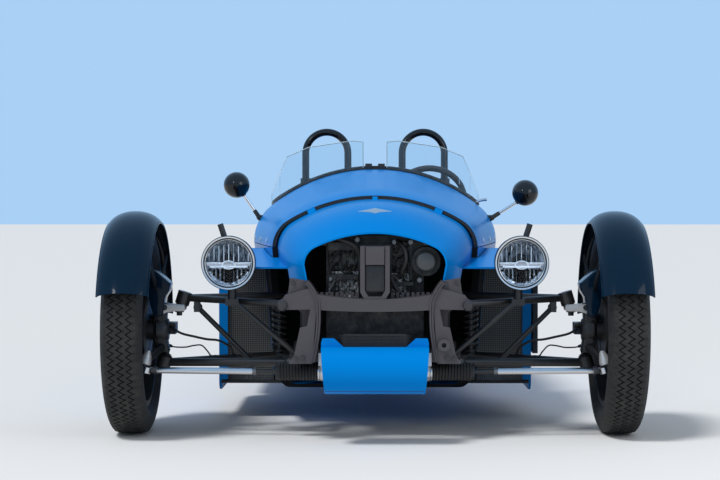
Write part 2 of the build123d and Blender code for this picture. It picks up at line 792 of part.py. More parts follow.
def rack_housing():
    tube = rod((-BOOT_INNER_X, RACK_Y, RACK_Z), (BOOT_INNER_X, RACK_Y, RACK_Z), RACK_RADIUS)
    tower = rod((PINION_X, RACK_Y, RACK_Z), (PINION_X, RACK_Y + 58, RACK_Z + 38), 20)
    saddles = pair(
        block((LEG_INNER_X - 52, LEG_INNER_X - 12), (RACK_Y - 20, RACK_Y + 20), (RACK_Z + 12, FOOT_Z + 10))
        + block(
            (LEG_INNER_X - 52, BACK_OUTLINE[0][0]),
            (CASTING_FRONT_Y + LEG_DEPTH - 16, RACK_Y - 10),
            (RACK_Z + 24, FOOT_Z + 30),
        )
    )
    collars = pair(rod((BOOT_INNER_X - 16, RACK_Y, RACK_Z), (BOOT_INNER_X, RACK_Y, RACK_Z), BOOT_RADIUS - 6))
    bore = rod((-WIDTH, RACK_Y, RACK_Z), (WIDTH, RACK_Y, RACK_Z), RACK_BAR_RADIUS + PIN_FIT)
    clear = pair(rod((BOOT_INNER_X, RACK_Y, RACK_Z), (BOOT_INNER_X + 12, RACK_Y, RACK_Z), BOOT_RADIUS + 1))
    return tube + tower + saddles + collars - bore - clear


def rack_boots():
    # Bellows: a fold every pitch, open inside for the rod
    length = BOOT_OUTER_X - BOOT_INNER_X
    pitch = (length - 2 * BOOT_CUFF) / BOOT_FOLDS
    outline = [(0, BOOT_BORE), (0, BOOT_CREASE), (BOOT_CUFF, BOOT_CREASE)]
    for i in range(BOOT_FOLDS):
        x = BOOT_CUFF + i * pitch
        outline += [(x + 0.3 * pitch, BOOT_RADIUS), (x + 0.7 * pitch, BOOT_RADIUS), (x + pitch, BOOT_CREASE)]
    outline += [(length, BOOT_CREASE), (length, BOOT_BORE)]
    return pair(turned(Polyline(outline, close=True), (BOOT_INNER_X, RACK_Y, RACK_Z)))


def rack_bar():
    half = RACK_HALF
    bar = rod((-half, RACK_Y, RACK_Z), (half, RACK_Y, RACK_Z), RACK_BAR_RADIUS)
    sockets = pair(rod((half, RACK_Y, RACK_Z), (half + 20, RACK_Y, RACK_Z), SOCKET_RADIUS))
    return bar + sockets


def tie_rod():
    x, y, _ = STEERING_ARM_END
    outer = (x, y, TIE_ROD_Z)
    inner = (RACK_HALF + 20 + ROD_GAP, RACK_Y, RACK_Z)
    step = between(outer, inner, ROD_STEP)
    bar = rod(outer, step, TIE_ROD_RADIUS) + rod(step, inner, ROD_THIN_RADIUS)
    eye = Pos(*outer) * along(ROD_AXIS) * Cylinder(18, 20)
    hole = Pos(*outer) * along(ROD_AXIS) * Cylinder(STUD_RADIUS + PIN_FIT, 60)
    return bar + eye - hole


def along(axis):
    return Plane(origin=(0, 0, 0), z_dir=axis).location


def upright():
    # The wheel carrier: studs for the two ball joints, hub, spindle and steering arm
    studs = kingpin_rod(KINGPIN_FOOT[2] - 10, KINGPIN_FOOT[2] + 45, STUD_RADIUS) + kingpin_rod(
        KINGPIN_TOP[2] - 45, KINGPIN_TOP[2] + 10, STUD_RADIUS
    )
    low, high = KINGPIN_FOOT[2] + BALL_HEIGHT / 2 + BALL_GAP, KINGPIN_TOP[2] - BALL_HEIGHT / 2 - BALL_GAP
    axle = FRONT_TYRE_RADIUS
    web = Solid.make_loft(
        [
            Wire.make_polygon(
                [Vector(x, y, z) for x, y in ((a - 22, -w), (a + 26, -w), (a + 26, w), (a - 22, w))]
            )
            for z, a, w in (
                (low, kingpin_point(low)[0], 24),
                (axle, kingpin_point(axle)[0] + 14, 46),
                (high, kingpin_point(high)[0], 22),
            )
        ],
        ruled=True,
    )
    hub = rod((kingpin_point(axle)[0], 0, axle), (HUB_FACE_X, 0, axle), 44)
    spindle = rod((HUB_FACE_X, 0, axle), (FRONT_WHEEL_X + SPINDLE_END, 0, axle), SPINDLE_RADIUS)
    x, y, z = STEERING_ARM_END
    arm_root = (kingpin_point(z)[0] + 10, -30, low + 16)
    arm = rod(arm_root, (x, y, z), 13) + Pos(x, y, z) * along(ROD_AXIS) * Cylinder(16, 24)
    stud = Pos(x, y, TIE_ROD_Z) * along(ROD_AXIS) * Pos(0, 0, 14) * Cylinder(STUD_RADIUS, 52)
    return studs + web + hub + spindle + arm + stud


def caliper():
    body = block((DISC_X - 26, DISC_X + 34), (78, 150), (FRONT_TYRE_RADIUS - 46, FRONT_TYRE_RADIUS + 46))
    slot = rod((DISC_X - 7, 0, FRONT_TYRE_RADIUS), (DISC_X + 15, 0, FRONT_TYRE_RADIUS), DISC_RADIUS + 6)
    root = kingpin_point(FRONT_TYRE_RADIUS)[0]
    bridge = block((root, DISC_X - 26), (40, 120), (FRONT_TYRE_RADIUS - 20, FRONT_TYRE_RADIUS + 20))
    return body - slot + (bridge - upright())


def fender():
    middle = (FENDER_INNER_X + FENDER_OUTER_X) / 2
    half = (FENDER_OUTER_X - FENDER_INNER_X) / 2
    outer = [
        Line((-half, FENDER_EDGE_RADIUS - FENDER_SKIN), (-half, FENDER_EDGE_RADIUS)),
        ThreePointArc((-half, FENDER_EDGE_RADIUS), (0, FENDER_RADIUS), (half, FENDER_EDGE_RADIUS)),
        Line((half, FENDER_EDGE_RADIUS), (half, FENDER_EDGE_RADIUS - FENDER_SKIN)),
        ThreePointArc(
            (half, FENDER_EDGE_RADIUS - FENDER_SKIN),
            (0, FENDER_RADIUS - FENDER_SKIN),
            (-half, FENDER_EDGE_RADIUS - FENDER_SKIN),
        ),
    ]
    arc = 180 - FENDER_FRONT_ANGLE - FENDER_REAR_ANGLE
    band = turned(outer, (0, 0, 0), arc)
    # The outline starts on the +Y side, so it is first turned up to the fender's rear end
    band = Pos(middle, 0, FRONT_TYRE_RADIUS) * Rot(FENDER_REAR_ANGLE, 0, 0) * band
    stays = []
    for angle in FENDER_STAYS:
        a = math.radians(angle)
        tip = (-FENDER_EDGE_RADIUS * math.cos(a), FRONT_TYRE_RADIUS + FENDER_EDGE_RADIUS * math.sin(a))
        across = (math.sin(a), math.cos(a))
        root = (-STAY_ROOT * math.cos(a), STAY_ROOT_Z)
        stay = side_profile(
            [
                (tip[0] - STAY_TIP * across[0], tip[1] - STAY_TIP * across[1]),
                (tip[0] + STAY_TIP * across[0], tip[1] + STAY_TIP * across[1]),
                (root[0] + STAY_BASE * across[0], root[1] + STAY_BASE * across[1]),
                (root[0] - STAY_BASE * across[0], root[1] - STAY_BASE * across[1]),
            ]
        )
        stays.append(along_x(stay, FENDER_INNER_X, FENDER_INNER_X + STAY_THICKNESS))
    return band + stays


# Wheels, each turned about its own axle line
def front_rim():
    half, radius = FRONT_RIM_WIDTH / 2, FRONT_RIM_RADIUS
    barrel = turned(
        Polyline(
            [
                (-half, radius - RIM_WALL),
                (-half, radius + RIM_FLANGE),
                (-half + RIM_WALL, radius + RIM_FLANGE),
                (-half + RIM_WALL, radius),
                (half - RIM_WALL, radius),
                (half - RIM_WALL, radius + RIM_FLANGE),
                (half, radius + RIM_FLANGE),
                (half, radius - RIM_WALL),
            ],
            close=True,
        ),
        (0, 0, 0),
    )
    disc = turned(
        Polyline(
            [
                (DISH_IN, HUB_RADIUS),
                (DISH_OUT, radius * 0.55),
                (DISH_IN + 4, radius - RIM_WALL),
                (DISH_IN + 12, radius - RIM_WALL),
                (DISH_OUT + 8, radius * 0.55),
                (DISH_IN + 8, HUB_RADIUS),
            ],
            close=True,
        ),
        (0, 0, 0),
    )
    slot = Pos(0, 0, radius * SLOT_RING) * Rot(0, 90, 0) * extrude(SlotOverall(34, 18), amount=60, both=True)
    disc -= [Rot(i * 360 / SLOT_COUNT, 0, 0) * slot for i in range(SLOT_COUNT)]
    hub = rod((HUB_FACE_X - FRONT_WHEEL_X + 6, 0, 0), (DISH_IN + 22, 0, 0), HUB_RADIUS + 2)
    cap = rod((DISH_IN + 22, 0, 0), (DISH_IN + 34, 0, 0), HUB_RADIUS - 8)
    bore = rod((-200, 0, 0), (SPINDLE_END + 2, 0, 0), SPINDLE_RADIUS + PIN_FIT)
    return barrel + disc + hub + cap - bore


def tyre(rim_radius, rim_width, tyre_radius, tyre_width):
    # Closed ring: beads sit on the rim between its flanges, the tread is slightly crowned
    bead, wide = rim_width / 2 - RIM_WALL, tyre_width / 2
    middle = (rim_radius + RIM_FLANGE + tyre_radius) / 2
    shoulder = wide - 0.12 * tyre_width
    drop = 0.04 * tyre_width
    edges = [
        Line((-bead, rim_radius), (bead, rim_radius)),
        Line((bead, rim_radius), (bead, rim_radius + RIM_FLANGE)),
        ThreePointArc((bead, rim_radius + RIM_FLANGE), (wide, middle), (shoulder, tyre_radius - drop)),
        ThreePointArc((shoulder, tyre_radius - drop), (0, tyre_radius), (-shoulder, tyre_radius - drop)),
        ThreePointArc((-shoulder, tyre_radius - drop), (-wide, middle), (-bead, rim_radius + RIM_FLANGE)),
        Line((-bead, rim_radius + RIM_FLANGE), (-bead, rim_radius)),
    ]
    return turned(edges, (0, 0, 0))


def brake_disc():
    ring = rod((DISC_X - FRONT_WHEEL_X, 0, 0), (DISC_X - FRONT_WHEEL_X + 8, 0, 0), DISC_RADIUS)
    return ring - rod((-200, 0, 0), (200, 0, 0), SPINDLE_RADIUS + PIN_FIT)


def rear_rim():
    half, radius = REAR_RIM_WIDTH / 2, REAR_RIM_RADIUS
    barrel = turned(
        Polyline(
            [
                (-half, radius - RIM_WALL),
                (-half, radius + RIM_FLANGE),
                (-half + RIM_WALL, radius + RIM_FLANGE),
                (-half + RIM_WALL, radius),
                (half - RIM_WALL, radius),
                (half - RIM_WALL, radius + RIM_FLANGE),
                (half, radius + RIM_FLANGE),
                (half, radius - RIM_WALL),
            ],
            close=True,
        ),
        (0, 0, 0),
    )
    disc = rod((-6, 0, 0), (6, 0, 0), radius - RIM_WALL)
    slot = Pos(0, 0, radius * SLOT_RING) * Rot(0, 90, 0) * extrude(SlotOverall(34, 18), amount=60, both=True)
    disc -= [Rot(i * 360 / SLOT_COUNT, 0, 0) * slot for i in range(SLOT_COUNT)]
    hub = rod((-REAR_HUB_HALF, 0, 0), (REAR_HUB_HALF, 0, 0), 36)
    return barrel + disc + hub - rod((-200, 0, 0), (200, 0, 0), REAR_AXLE_RADIUS + PIN_FIT)


def rear_pulley():
    low = PULLEY_X - BELT_WIDTH / 2
    ring = rod((low, 0, 0), (low + BELT_WIDTH, 0, 0), PULLEY_RADIUS)
    windows = [
        Rot(i * 60, 0, 0) * Pos(PULLEY_X, 0, PULLEY_RADIUS * 0.62) * Rot(0, 90, 0) * Cylinder(22, 80)
        for i in range(6)
    ]
    neck = rod((REAR_HUB_HALF, 0, 0), (low, 0, 0), 36)
    return ring + neck - windows - rod((-200, 0, 0), (200, 0, 0), REAR_AXLE_RADIUS + PIN_FIT)


# Driven end
def swing_arm():
    y, z = WHEELBASE, REAR_TYRE_RADIUS
    leg = rod((ARM_X, PIVOT_Y, PIVOT_Z), (ARM_X, y - 60, z), ARM_LEG_RADIUS)
    drop_out = block((ARM_X - 15, ARM_X + 15), (y - 70, y + 40), (z - 32, z + 32))
    legs = pair(leg + drop_out)
    cross = rod((-ARM_X, PIVOT_Y + 92, PIVOT_Z - 2), (ARM_X, PIVOT_Y + 92, PIVOT_Z - 2), ARM_LEG_RADIUS - 4)
    barrel = pair(rod((ARM_X - 24, PIVOT_Y, PIVOT_Z), (ARM_X + 24, PIVOT_Y, PIVOT_Z), 34))
    axle = rod((-ARM_X - 34, y, z), (ARM_X + 34, y, z), REAR_AXLE_RADIUS)
    bore = rod((-WIDTH, PIVOT_Y, PIVOT_Z), (WIDTH, PIVOT_Y, PIVOT_Z), PIVOT_PIN)
    return legs + cross + barrel - bore + axle


def bevel_box():
    # Final drive in the tail: it carries the swing arm's pivot and the front belt pulley
    case = block((-90, 90), (TUB_REAR_Y, PIVOT_Y + 40), (PIVOT_Z - 90, PIVOT_Z + 70))
    pin = rod((-ARM_X - 30, PIVOT_Y, PIVOT_Z), (ARM_X + 30, PIVOT_Y, PIVOT_Z), PIVOT_PIN)
    cheeks = pair(
        block((ARM_X + 24, ARM_X + 36), (TUB_REAR_Y, PIVOT_Y + 34), (PIVOT_Z - 40, PIVOT_Z + 40))
        - rod((0, PIVOT_Y, PIVOT_Z), (WIDTH, PIVOT_Y, PIVOT_Z), PIVOT_PIN)
    )
    pulley = rod((90, PIVOT_Y, PIVOT_Z), (PULLEY_X + BELT_WIDTH / 2, PIVOT_Y, PIVOT_Z), FRONT_PULLEY_RADIUS)
    return case + pin + cheeks + pulley


def drive_belt():
    low, high = PULLEY_X - BELT_WIDTH / 2, PULLEY_X + BELT_WIDTH / 2
    run = math.hypot(WHEELBASE - PIVOT_Y, PIVOT_Z - REAR_TYRE_RADIUS)
    small, large = FRONT_PULLEY_RADIUS + BELT_GAP, PULLEY_RADIUS + BELT_GAP
    lean = math.degrees(math.asin((large - small) / run))

    def loop(extra):
        # Two arcs and the two straight runs that touch them, with the pulleys on the local X axis
        points = []
        for radius, centre in ((small + extra, 0), (large + extra, run)):
            for s in (-1, 1):
                a = math.radians(90 + lean)
                points.append((centre + radius * math.cos(a), s * radius * math.sin(a)))
        front_low, front_high, rear_low, rear_high = points
        edges = [
            ThreePointArc(front_low, (-(small + extra), 0), front_high),
            Line(front_high, rear_high),
            ThreePointArc(rear_high, (run + large + extra, 0), rear_low),
            Line(rear_low, front_low),
        ]
        return make_face(edges)

    tilt = math.degrees(math.atan2(REAR_TYRE_RADIUS - PIVOT_Z, WHEELBASE - PIVOT_Y))
    belt = extrude(loop(BELT_THICKNESS) - loop(0), amount=high - low)
    along = (0, math.cos(math.radians(tilt)), math.sin(math.radians(tilt)))
    plane = Plane(origin=(low, PIVOT_Y, PIVOT_Z), x_dir=along, z_dir=(1, 0, 0))
    return plane * belt


def rear_damper():
    start, end = (0, PIVOT_Y + 92, PIVOT_Z + ARM_LEG_RADIUS - 6), (0, TUB_REAR_Y + 22, DAMPER_REAR_TOP_Z)
    body = rod(between(start, end, 0.06), end, 22)
    body += rod(between(start, end, 0.2), between(start, end, 0.85), 32)
    case = block((-90, 90), (TUB_REAR_Y, PIVOT_Y + 40), (PIVOT_Z - 90, PIVOT_Z + 70))
    return body - case - swing_arm() - block((-WIDTH, WIDTH), (0, TUB_REAR_Y), (0, HEIGHT))


def rear_mudguard():
    half = REAR_TYRE_WIDTH / 2 + 22
    radius = REAR_TYRE_RADIUS + GUARD_GAP
    band = turned(
        Polyline([(-half, radius), (half, radius), (half, radius + 4), (-half, radius + 4)], close=True),
        (0, 0, 0),
        150,
    )
    guard = Pos(0, WHEELBASE, REAR_TYRE_RADIUS) * Rot(8, 0, 0) * band
    tray = block(
        (-LID_HALF - 60, LID_HALF + 60),
        (LID_FRONT_Y - 60, LID_REAR_Y + 40),
        (LID_FLOOR_Z - 6, LID_FLOOR_Z),
    )
    return (guard + tray) & UNDER_SKIN


def tail_lamps():
    lamps = []
    for s in (-1, 1):
        x = s * TAIL_LAMP_X
        lamps.append(rod((x, TAIL_END_Y, TAIL_LAMP_Z), (x, TAIL_END_Y + 28, TAIL_LAMP_Z), 42))
    return lamps[0] + lamps[1]


def plate_holder():
    plate = block((-150, 150), (TAIL_END_Y + 4, TAIL_END_Y + 10), (TAIL_PLATE_Z, TAIL_PLATE_Z + 110))
    stays = block((-60, 60), (TAIL_END_Y, TAIL_END_Y + 4), (TAIL_PLATE_Z + 20, TAIL_PLATE_Z + 90))
    return plate + stays


def exhaust():
    x, z = -EXHAUST_X, EXHAUST_Z
    pipe = rod((x, EXHAUST_START_Y, z), (x, EXHAUST_BOX_Y, z), 24)
    box = rod((x, EXHAUST_BOX_Y, z), (x, EXHAUST_BOX_Y + 520, z), 52)
    tip = rod((x, EXHAUST_BOX_Y + 520, z), (x, EXHAUST_END_Y, z), 26)
    tip -= rod((x, EXHAUST_BOX_Y + 560, z), (x, EXHAUST_END_Y + 1, z), 22)
    hangers = block((x, x + 90), (EXHAUST_BOX_Y + 40, EXHAUST_BOX_Y + 56), (z - 6, z + 6)) + block(
        (x, x + 90), (EXHAUST_BOX_Y + 460, EXHAUST_BOX_Y + 476), (z - 6, z + 6)
    )
    return pipe + box + tip + (hangers - OUTSIDE)


# Front lamps, nose trim and side pods
def lamp_turned(wall):
    # The bowl's round form up to its open rim, smaller all round by the wall
    radius, depth = LAMP_RADIUS - wall, LAMP_DEPTH - wall
    knee = (LAMP_DEPTH * 0.72 - wall * 0.8, LAMP_RADIUS * 0.74 - wall * 0.8)
    face = make_face(
        [
            Line((0, 0), (0, radius)),
            Line((0, radius), (LAMP_RIM, radius)),
            ThreePointArc((LAMP_RIM, radius), knee, (depth, LAMP_POLE)),
            Line((depth, LAMP_POLE), (depth, 0)),
            Line((depth, 0), (0, 0)),
        ]
    )
    return Pos(LAMP_X, LAMP_Y, LAMP_Z) * Rot(0, 0, 90) * revolve(face, axis=Axis.X)


def headlamp_shells():
    return pair(lamp_turned(0) - lamp_turned(LAMP_WALL))


def headlamp_lenses():
    return pair(rod((LAMP_X, LAMP_Y + 4, LAMP_Z), (LAMP_X, LAMP_Y + 26, LAMP_Z), LAMP_RADIUS - LAMP_WALL))


def lamp_brackets():
    # Stalk on the upper wishbone's line, strut down to the frame, and the marker lamp on top
    x, y = LAMP_X - 8, LAMP_Y + 62
    stalk = rod((x, y, LAMP_STALK_Z), (x, y, LAMP_Z), 15)
    strut = rod((x, y, LAMP_STALK_Z + 4), (RAIL_X + 2, LAMP_Y + 55, LOWER_RAIL_Z[0] + 16), 9)
    shoe = block((x - 22, x + 22), (y - 18, y + 18), (LAMP_STALK_Z - 14, LAMP_STALK_Z + 8))
    marker = Pos(LAMP_X + 24, y, LAMP_Z + LAMP_RADIUS + 14) * Rot(0, MARKER_LEAN, 0) * Cylinder(10, 54)
    return pair(stalk + strut + shoe + marker - lamp_turned(0)) - front_frame()


def chin_cover():
    front = -FRONT_OVERHANG
    back = CASTING_FRONT_Y - 4
    outer = [
        Line((0, back, CHIN_TOP_Z), (0, back - 22, CHIN_TOP_Z)),
        ThreePointArc((0, back - 22, CHIN_TOP_Z), (0, front, CHIN_BULGE_Z), (0, back - 40, CHIN_BOTTOM_Z)),
        Line((0, back - 40, CHIN_BOTTOM_Z), (0, back, CHIN_BOTTOM_Z)),
        Line((0, back, CHIN_BOTTOM_Z), (0, back, CHIN_TOP_Z)),
    ]
    outside = along_x(make_face(outer), -CHIN_HALF_TOP, CHIN_HALF_TOP)
    inner = [
        Line((0, back + 1, CHIN_TOP_Z - SKIN), (0, back - 20, CHIN_TOP_Z - SKIN)),
        ThreePointArc(
            (0, back - 20, CHIN_TOP_Z - SKIN),
            (0, front + SKIN, CHIN_BULGE_Z),
            (0, back - 37, CHIN_BOTTOM_Z + SKIN),
        ),
        Line((0, back - 37, CHIN_BOTTOM_Z + SKIN), (0, back + 1, CHIN_BOTTOM_Z + SKIN)),
        Line((0, back + 1, CHIN_BOTTOM_Z + SKIN), (0, back + 1, CHIN_TOP_Z - SKIN)),
    ]
    inside = along_x(make_face(inner), -CHIN_HALF_BOTTOM + SKIN, CHIN_HALF_BOTTOM - SKIN)
    taper = Pos(0, -2 * FRONT_OVERHANG, 0) * extrude(
        make_face(
            Polyline(
                [
                    (-CHIN_HALF_TOP, 0, CHIN_TOP_Z + 30),
                    (CHIN_HALF_TOP, 0, CHIN_TOP_Z + 30),
                    (CHIN_HALF_BOTTOM, 0, CHIN_BOTTOM_Z),
                    (-CHIN_HALF_BOTTOM, 0, CHIN_BOTTOM_Z),
                ],
                close=True,
            )
        ),
        amount=2 * FRONT_OVERHANG,
        dir=(0, 1, 0),
    )
    ear = [
        (CHIN_NOTCH_HALF, CHIN_TOP_Z - SKIN),
        (CHIN_NOTCH_HALF, CHIN_TOP_Z),
        (CHIN_EAR_HALF, CHIN_EAR_Z),
        (CHIN_HALF_TOP - SKIN, CHIN_EAR_Z),
        (CHIN_HALF_TOP, CHIN_EAR_Z - 22),
        (CHIN_HALF_TOP, CHIN_TOP_Z - SKIN),
    ]
    ears = pair(front_outline(ear, back - 14, back))
    return (outside & taper) - inside + (ears & taper)


def lower_grille():
    back = CASTING_FRONT_Y - 4
    panel = block((-CHIN_NOTCH_HALF, CHIN_NOTCH_HALF), (back - 10, back - 4), (CHIN_TOP_Z, GRILLE_TOP_Z))
    rows, columns = 3, 20
    pitch_x = 2 * (CHIN_NOTCH_HALF - 8) / columns
    pitch_z = (GRILLE_TOP_Z - CHIN_TOP_Z - 8) / rows
    holes = []
    for i in range(columns):
        for j in range(rows):
            centre = ((i - (columns - 1) / 2) * pitch_x, back - 7, CHIN_TOP_Z + 4 + (j + 0.5) * pitch_z)
            holes.append(Pos(*centre) * Box(pitch_x - 3, 20, pitch_z - 3))
    return panel - holes


def side_pods():
    front, rear = POD_FRONT_Y, POD_REAR_Y
    slope = (SHELF_REAR_Z - SHELF_FRONT_Z) / (POD_FRONT_Y - SHELF_FRONT_Y)
    top = SHELF_FRONT_Z + slope * (POD_FRONT_Y - SHELF_FRONT_Y)
    outer = side_profile(
        [(front, POD_BOTTOM_Z), (front, top), (rear, POD_REAR_TOP_Z), (rear, POD_BOTTOM_Z + 60)]
    )
    inner = side_profile(
        [
            (front - 1, POD_BOTTOM_Z + POD_WALL),
            (front - 1, top - POD_WALL),
            (rear + 1, POD_REAR_TOP_Z - POD_WALL),
            (rear + 1, POD_BOTTOM_Z + 60 + POD_WALL),
        ]
    )
    duct = along_x(outer, 300, POD_OUTER_X) - along_x(inner, 300, POD_OUTER_X - POD_WALL)
    return pair(duct - OUTSIDE - radiator()) - side_blades()


def radiator():
    y = POD_FRONT_Y + 30
    core = block(
        (POD_INNER_X - 40, POD_OUTER_X - POD_WALL), (y, y + 50), (POD_BOTTOM_Z + 40, POD_BOTTOM_Z + 430)
    )
    return core - OUTSIDE


def rack_bolt_centres():
    y, z = (BLADE_REAR_Y + POD_FRONT_Y) / 2, (BLADE_TOP_Z + BLADE_BOTTOM_Z) / 2 + RACK_RISE
    return [(y + u * RACK_BOLTS_Y / 2, z + v * RACK_BOLTS_Z / 2) for u in (-1, 1) for v in (-1, 1)]


def side_blades():
    outline = RectangleRounded(BLADE_REAR_Y - POD_FRONT_Y, BLADE_TOP_Z - BLADE_BOTTOM_Z, BLADE_CORNER)
    centre = ((BLADE_REAR_Y + POD_FRONT_Y) / 2, (BLADE_TOP_Z + BLADE_BOTTOM_Z) / 2)
    inner = BLADE_X - BLADE_THICKNESS
    plane = Plane(origin=(inner, centre[0], centre[1]), x_dir=(0, 1, 0), z_dir=(1, 0, 0))
    plate = extrude(plane * outline, amount=BLADE_THICKNESS)
    lip = block(
        (inner - BLADE_LIP, inner),
        (POD_FRONT_Y, POD_FRONT_Y + BLADE_THICKNESS),
        (BLADE_BOTTOM_Z + BLADE_CORNER, BLADE_TOP_Z - BLADE_CORNER),
    )
    holes = [rod((0, y, z), (WIDTH, y, z), RACK_BOLT_RADIUS) for y, z in rack_bolt_centres()]
    return pair(plate + lip - holes)


def carrier_board():
    # Luggage board on the driver's side plate, held off it by a spacer at each bolt
    inner = BLADE_X + BOARD_GAP
    centres = rack_bolt_centres()
    y = (BLADE_REAR_Y + POD_FRONT_Y) / 2
    z = (BLADE_TOP_Z + BLADE_BOTTOM_Z) / 2 + RACK_RISE - BOARD_DROP
    plane = Plane(origin=(inner, y, z), x_dir=(0, 1, 0), z_dir=(1, 0, 0))
    face = plane * RectangleRounded(BOARD_LENGTH, BOARD_HEIGHT, BOARD_CORNER)
    board = extrude(face, amount=BOARD_THICKNESS)
    for y, z in centres:
        board += rod((BLADE_X, y, z), (inner, y, z), 3 * RACK_BOLT_RADIUS)
    return board - [rod((0, y, z), (WIDTH, y, z), RACK_BOLT_RADIUS) for y, z in centres]


# Cockpit
def aeroscreens():
    base = Polyline([(47, 0), (250, 6), (345, 34)])
    bend = ThreePointArc((345, 34), (372, 56), (392, 92))
    wing = Line((392, 92), (430, 210))
    strip = trace(base + bend + wing, SCREEN_THICKNESS)
    sheet = Pos(0, SCREEN_Y, 780) * extrude(strip, amount=290, dir=(0, 0.3, 1))
    cut = make_face(
        Polyline([(x, 0, z) for x, z in SCREEN_OUTLINE], close=True)
    )
    sheet = sheet & extrude(cut, amount=LENGTH, dir=(0, 1, 0))
    return pair(sheet - body_solid(-1)) - cockpit_trim()


def roll_hoops():
    width = HOOP_WIDTH - HOOP_TUBE
    top = HEIGHT - HOOP_TUBE / 2
    hoop = []
    for x in (-HOOP_X, HOOP_X):
        legs = [Line((x - width / 2, HOOP_Y, HOOP_FOOT_Z), (x - width / 2, HOOP_Y, top - width / 2))]
        shoulder = top - width / 2
        legs.append(
            ThreePointArc(
                (x - width / 2, HOOP_Y, shoulder), (x, HOOP_Y, top), (x + width / 2, HOOP_Y, shoulder)
            )
        )
        legs.append(Line((x + width / 2, HOOP_Y, top - width / 2), (x + width / 2, HOOP_Y, HOOP_FOOT_Z)))
        path = Wire(legs)
        start = Plane(origin=(x - width / 2, HOOP_Y, HOOP_FOOT_Z), z_dir=(0, 0, 1))
        hoop.append(sweep(start * Circle(HOOP_TUBE / 2), path=path))
        for s in (-1, 1):
            leg = x + s * width / 2
            collar = rod((leg, HOOP_Y, HOOP_FOOT_Z), (leg, HOOP_Y, HOOP_FOOT_Z + 60), HOOP_TUBE / 2 + 8)
            hoop.append(collar)
    return hoop[0] + hoop[1:] - OUTSIDE


def mirrors():
    heads = []
    for s, x, z in MIRROR_HEADS:
        centre = (s * x, MIRROR_Y, z)
        shell = Pos(*centre) * dome(MIRROR_RADIUS, 10, 50)
        base = (s * MIRROR_BASE[0], MIRROR_Y, MIRROR_BASE[1])
        arm = rod(base, (centre[0] - s * MIRROR_RADIUS * 0.42, MIRROR_Y - 6, z - MIRROR_RADIUS * 0.55), 6)
        pad = rod((base[0] - s * 40, MIRROR_Y, base[2]), (base[0] + s * 4, MIRROR_Y, base[2]), 17)
        heads.append(shell + arm + pad)
    return heads[0] + heads[1] - OUTSIDE


def dome(radius, rim, depth):
    # A shallow cup that bulges to -Y, its flat face at y = rim
    face = make_face(
        [
            Line((rim, 0), (rim, radius)),
            Line((rim, radius), (0, radius)),
            ThreePointArc((0, radius), (-depth * 0.66, radius * 0.72), (-depth, 0)),
            Line((-depth, 0), (rim, 0)),
        ]
    )
    return Rot(0, 0, 90) * revolve(face, axis=Axis.X)


def steering_axis():
    a = math.radians(STEERING_TILT)
    return Vector(0, math.cos(a), math.sin(a))


def steering_wheel():
    y, z = STEERING_CENTRE
    plane = Plane(origin=(STEERING_X, y, z), x_dir=(1, 0, 0), z_dir=steering_axis())
    rim = Torus(STEERING_RADIUS, RIM_TUBE)
    hub = Cylinder(28, 30)
    bar = Pos(STEERING_RADIUS / 2, 0, 0) * Box(STEERING_RADIUS - 6, 22, 5)
    spokes = [Rot(0, 0, a) * bar for a in (0, 180, 270)]
    shaft = Pos(0, 0, -15 - SHAFT_OUT / 2) * Cylinder(SHAFT_RADIUS, SHAFT_OUT)
    return plane * (rim + hub + spokes + shaft)


def steering_column():
    y, z = STEERING_CENTRE
    plane = Plane(origin=(STEERING_X, y, z), x_dir=(1, 0, 0), z_dir=steering_axis())
    tube = Pos(0, 0, -22 - COLUMN_LENGTH / 2) * Cylinder(30, COLUMN_LENGTH)
    bore = Pos(0, 0, -22 - SHAFT_OUT / 2) * Cylinder(SHAFT_RADIUS + PIN_FIT, SHAFT_OUT)
    stalk = Pos(-60, 0, -40) * Rot(0, 90, 0) * Cylinder(5, 80)
    return plane * (tube + stalk - bore)


def dashboard():
    panel = block((-WIDTH, WIDTH), (DASH_Y, DASH_Y + 20), (DASH_BOTTOM_Z, HEIGHT)) & TUB_ROOM
    dials = [
        rod((x, DASH_Y + 20, DASH_DIAL_Z), (x, DASH_Y + 32, DASH_DIAL_Z), r)
        for x, r in ((-62, 52), (62, 52), (0, 22))
    ]
    return panel + dials - steering_column()


def seat_cushions():
    cushion = Box(SEAT_WIDTH, SEAT_LENGTH, SEAT_PAD)
    cushion = fillet(cushion.edges(), SEAT_CORNER)
    return pair(Pos(SEAT_X, *SEAT_CUSHION) * Rot(SEAT_TILT, 0, 0) * cushion)


def seat_backs():
    back = Box(SEAT_WIDTH, SEAT_BACK_PAD, SEAT_LENGTH)
    back = fillet(back.edges(), SEAT_CORNER)
    return pair(Pos(SEAT_X, *SEAT_BACK) * Rot(-SEAT_BACK_TILT, 0, 0) * back)


def cockpit_trim():
    # Padded rail round the cockpit mouth
    width, long = 2 * COCKPIT_HALF, COCKPIT_REAR_Y - COCKPIT_FRONT_Y
    middle = (COCKPIT_FRONT_Y + COCKPIT_REAR_Y) / 2
    ring = RectangleRounded(width + 2 * 14, long + 2 * 14, COCKPIT_CORNER + 14) - RectangleRounded(
        width - 2 * 14, long - 2 * 14, COCKPIT_CORNER - 14
    )
    wall = Pos(0, middle, 600) * extrude(ring, amount=400)
    return wall & (body_solid(-TRIM_RISE) - OUTSIDE)


def tunnel():
    deck = block((-70, 70), (BULKHEAD_Y + 400, TUB_REAR_Y - TUB_WALL), (0, FLOOR_TOP + 190))
    lever = rod((0, 1230, FLOOR_TOP + 180), (0, 1250, FLOOR_TOP + 330), 8)
    lever += Pos(0, 1250, FLOOR_TOP + 340) * Sphere(22)
    gate = Pos(0, 1230, FLOOR_TOP + 196) * Cylinder(38, 12)
    return (deck & TUB_ROOM) + gate + lever


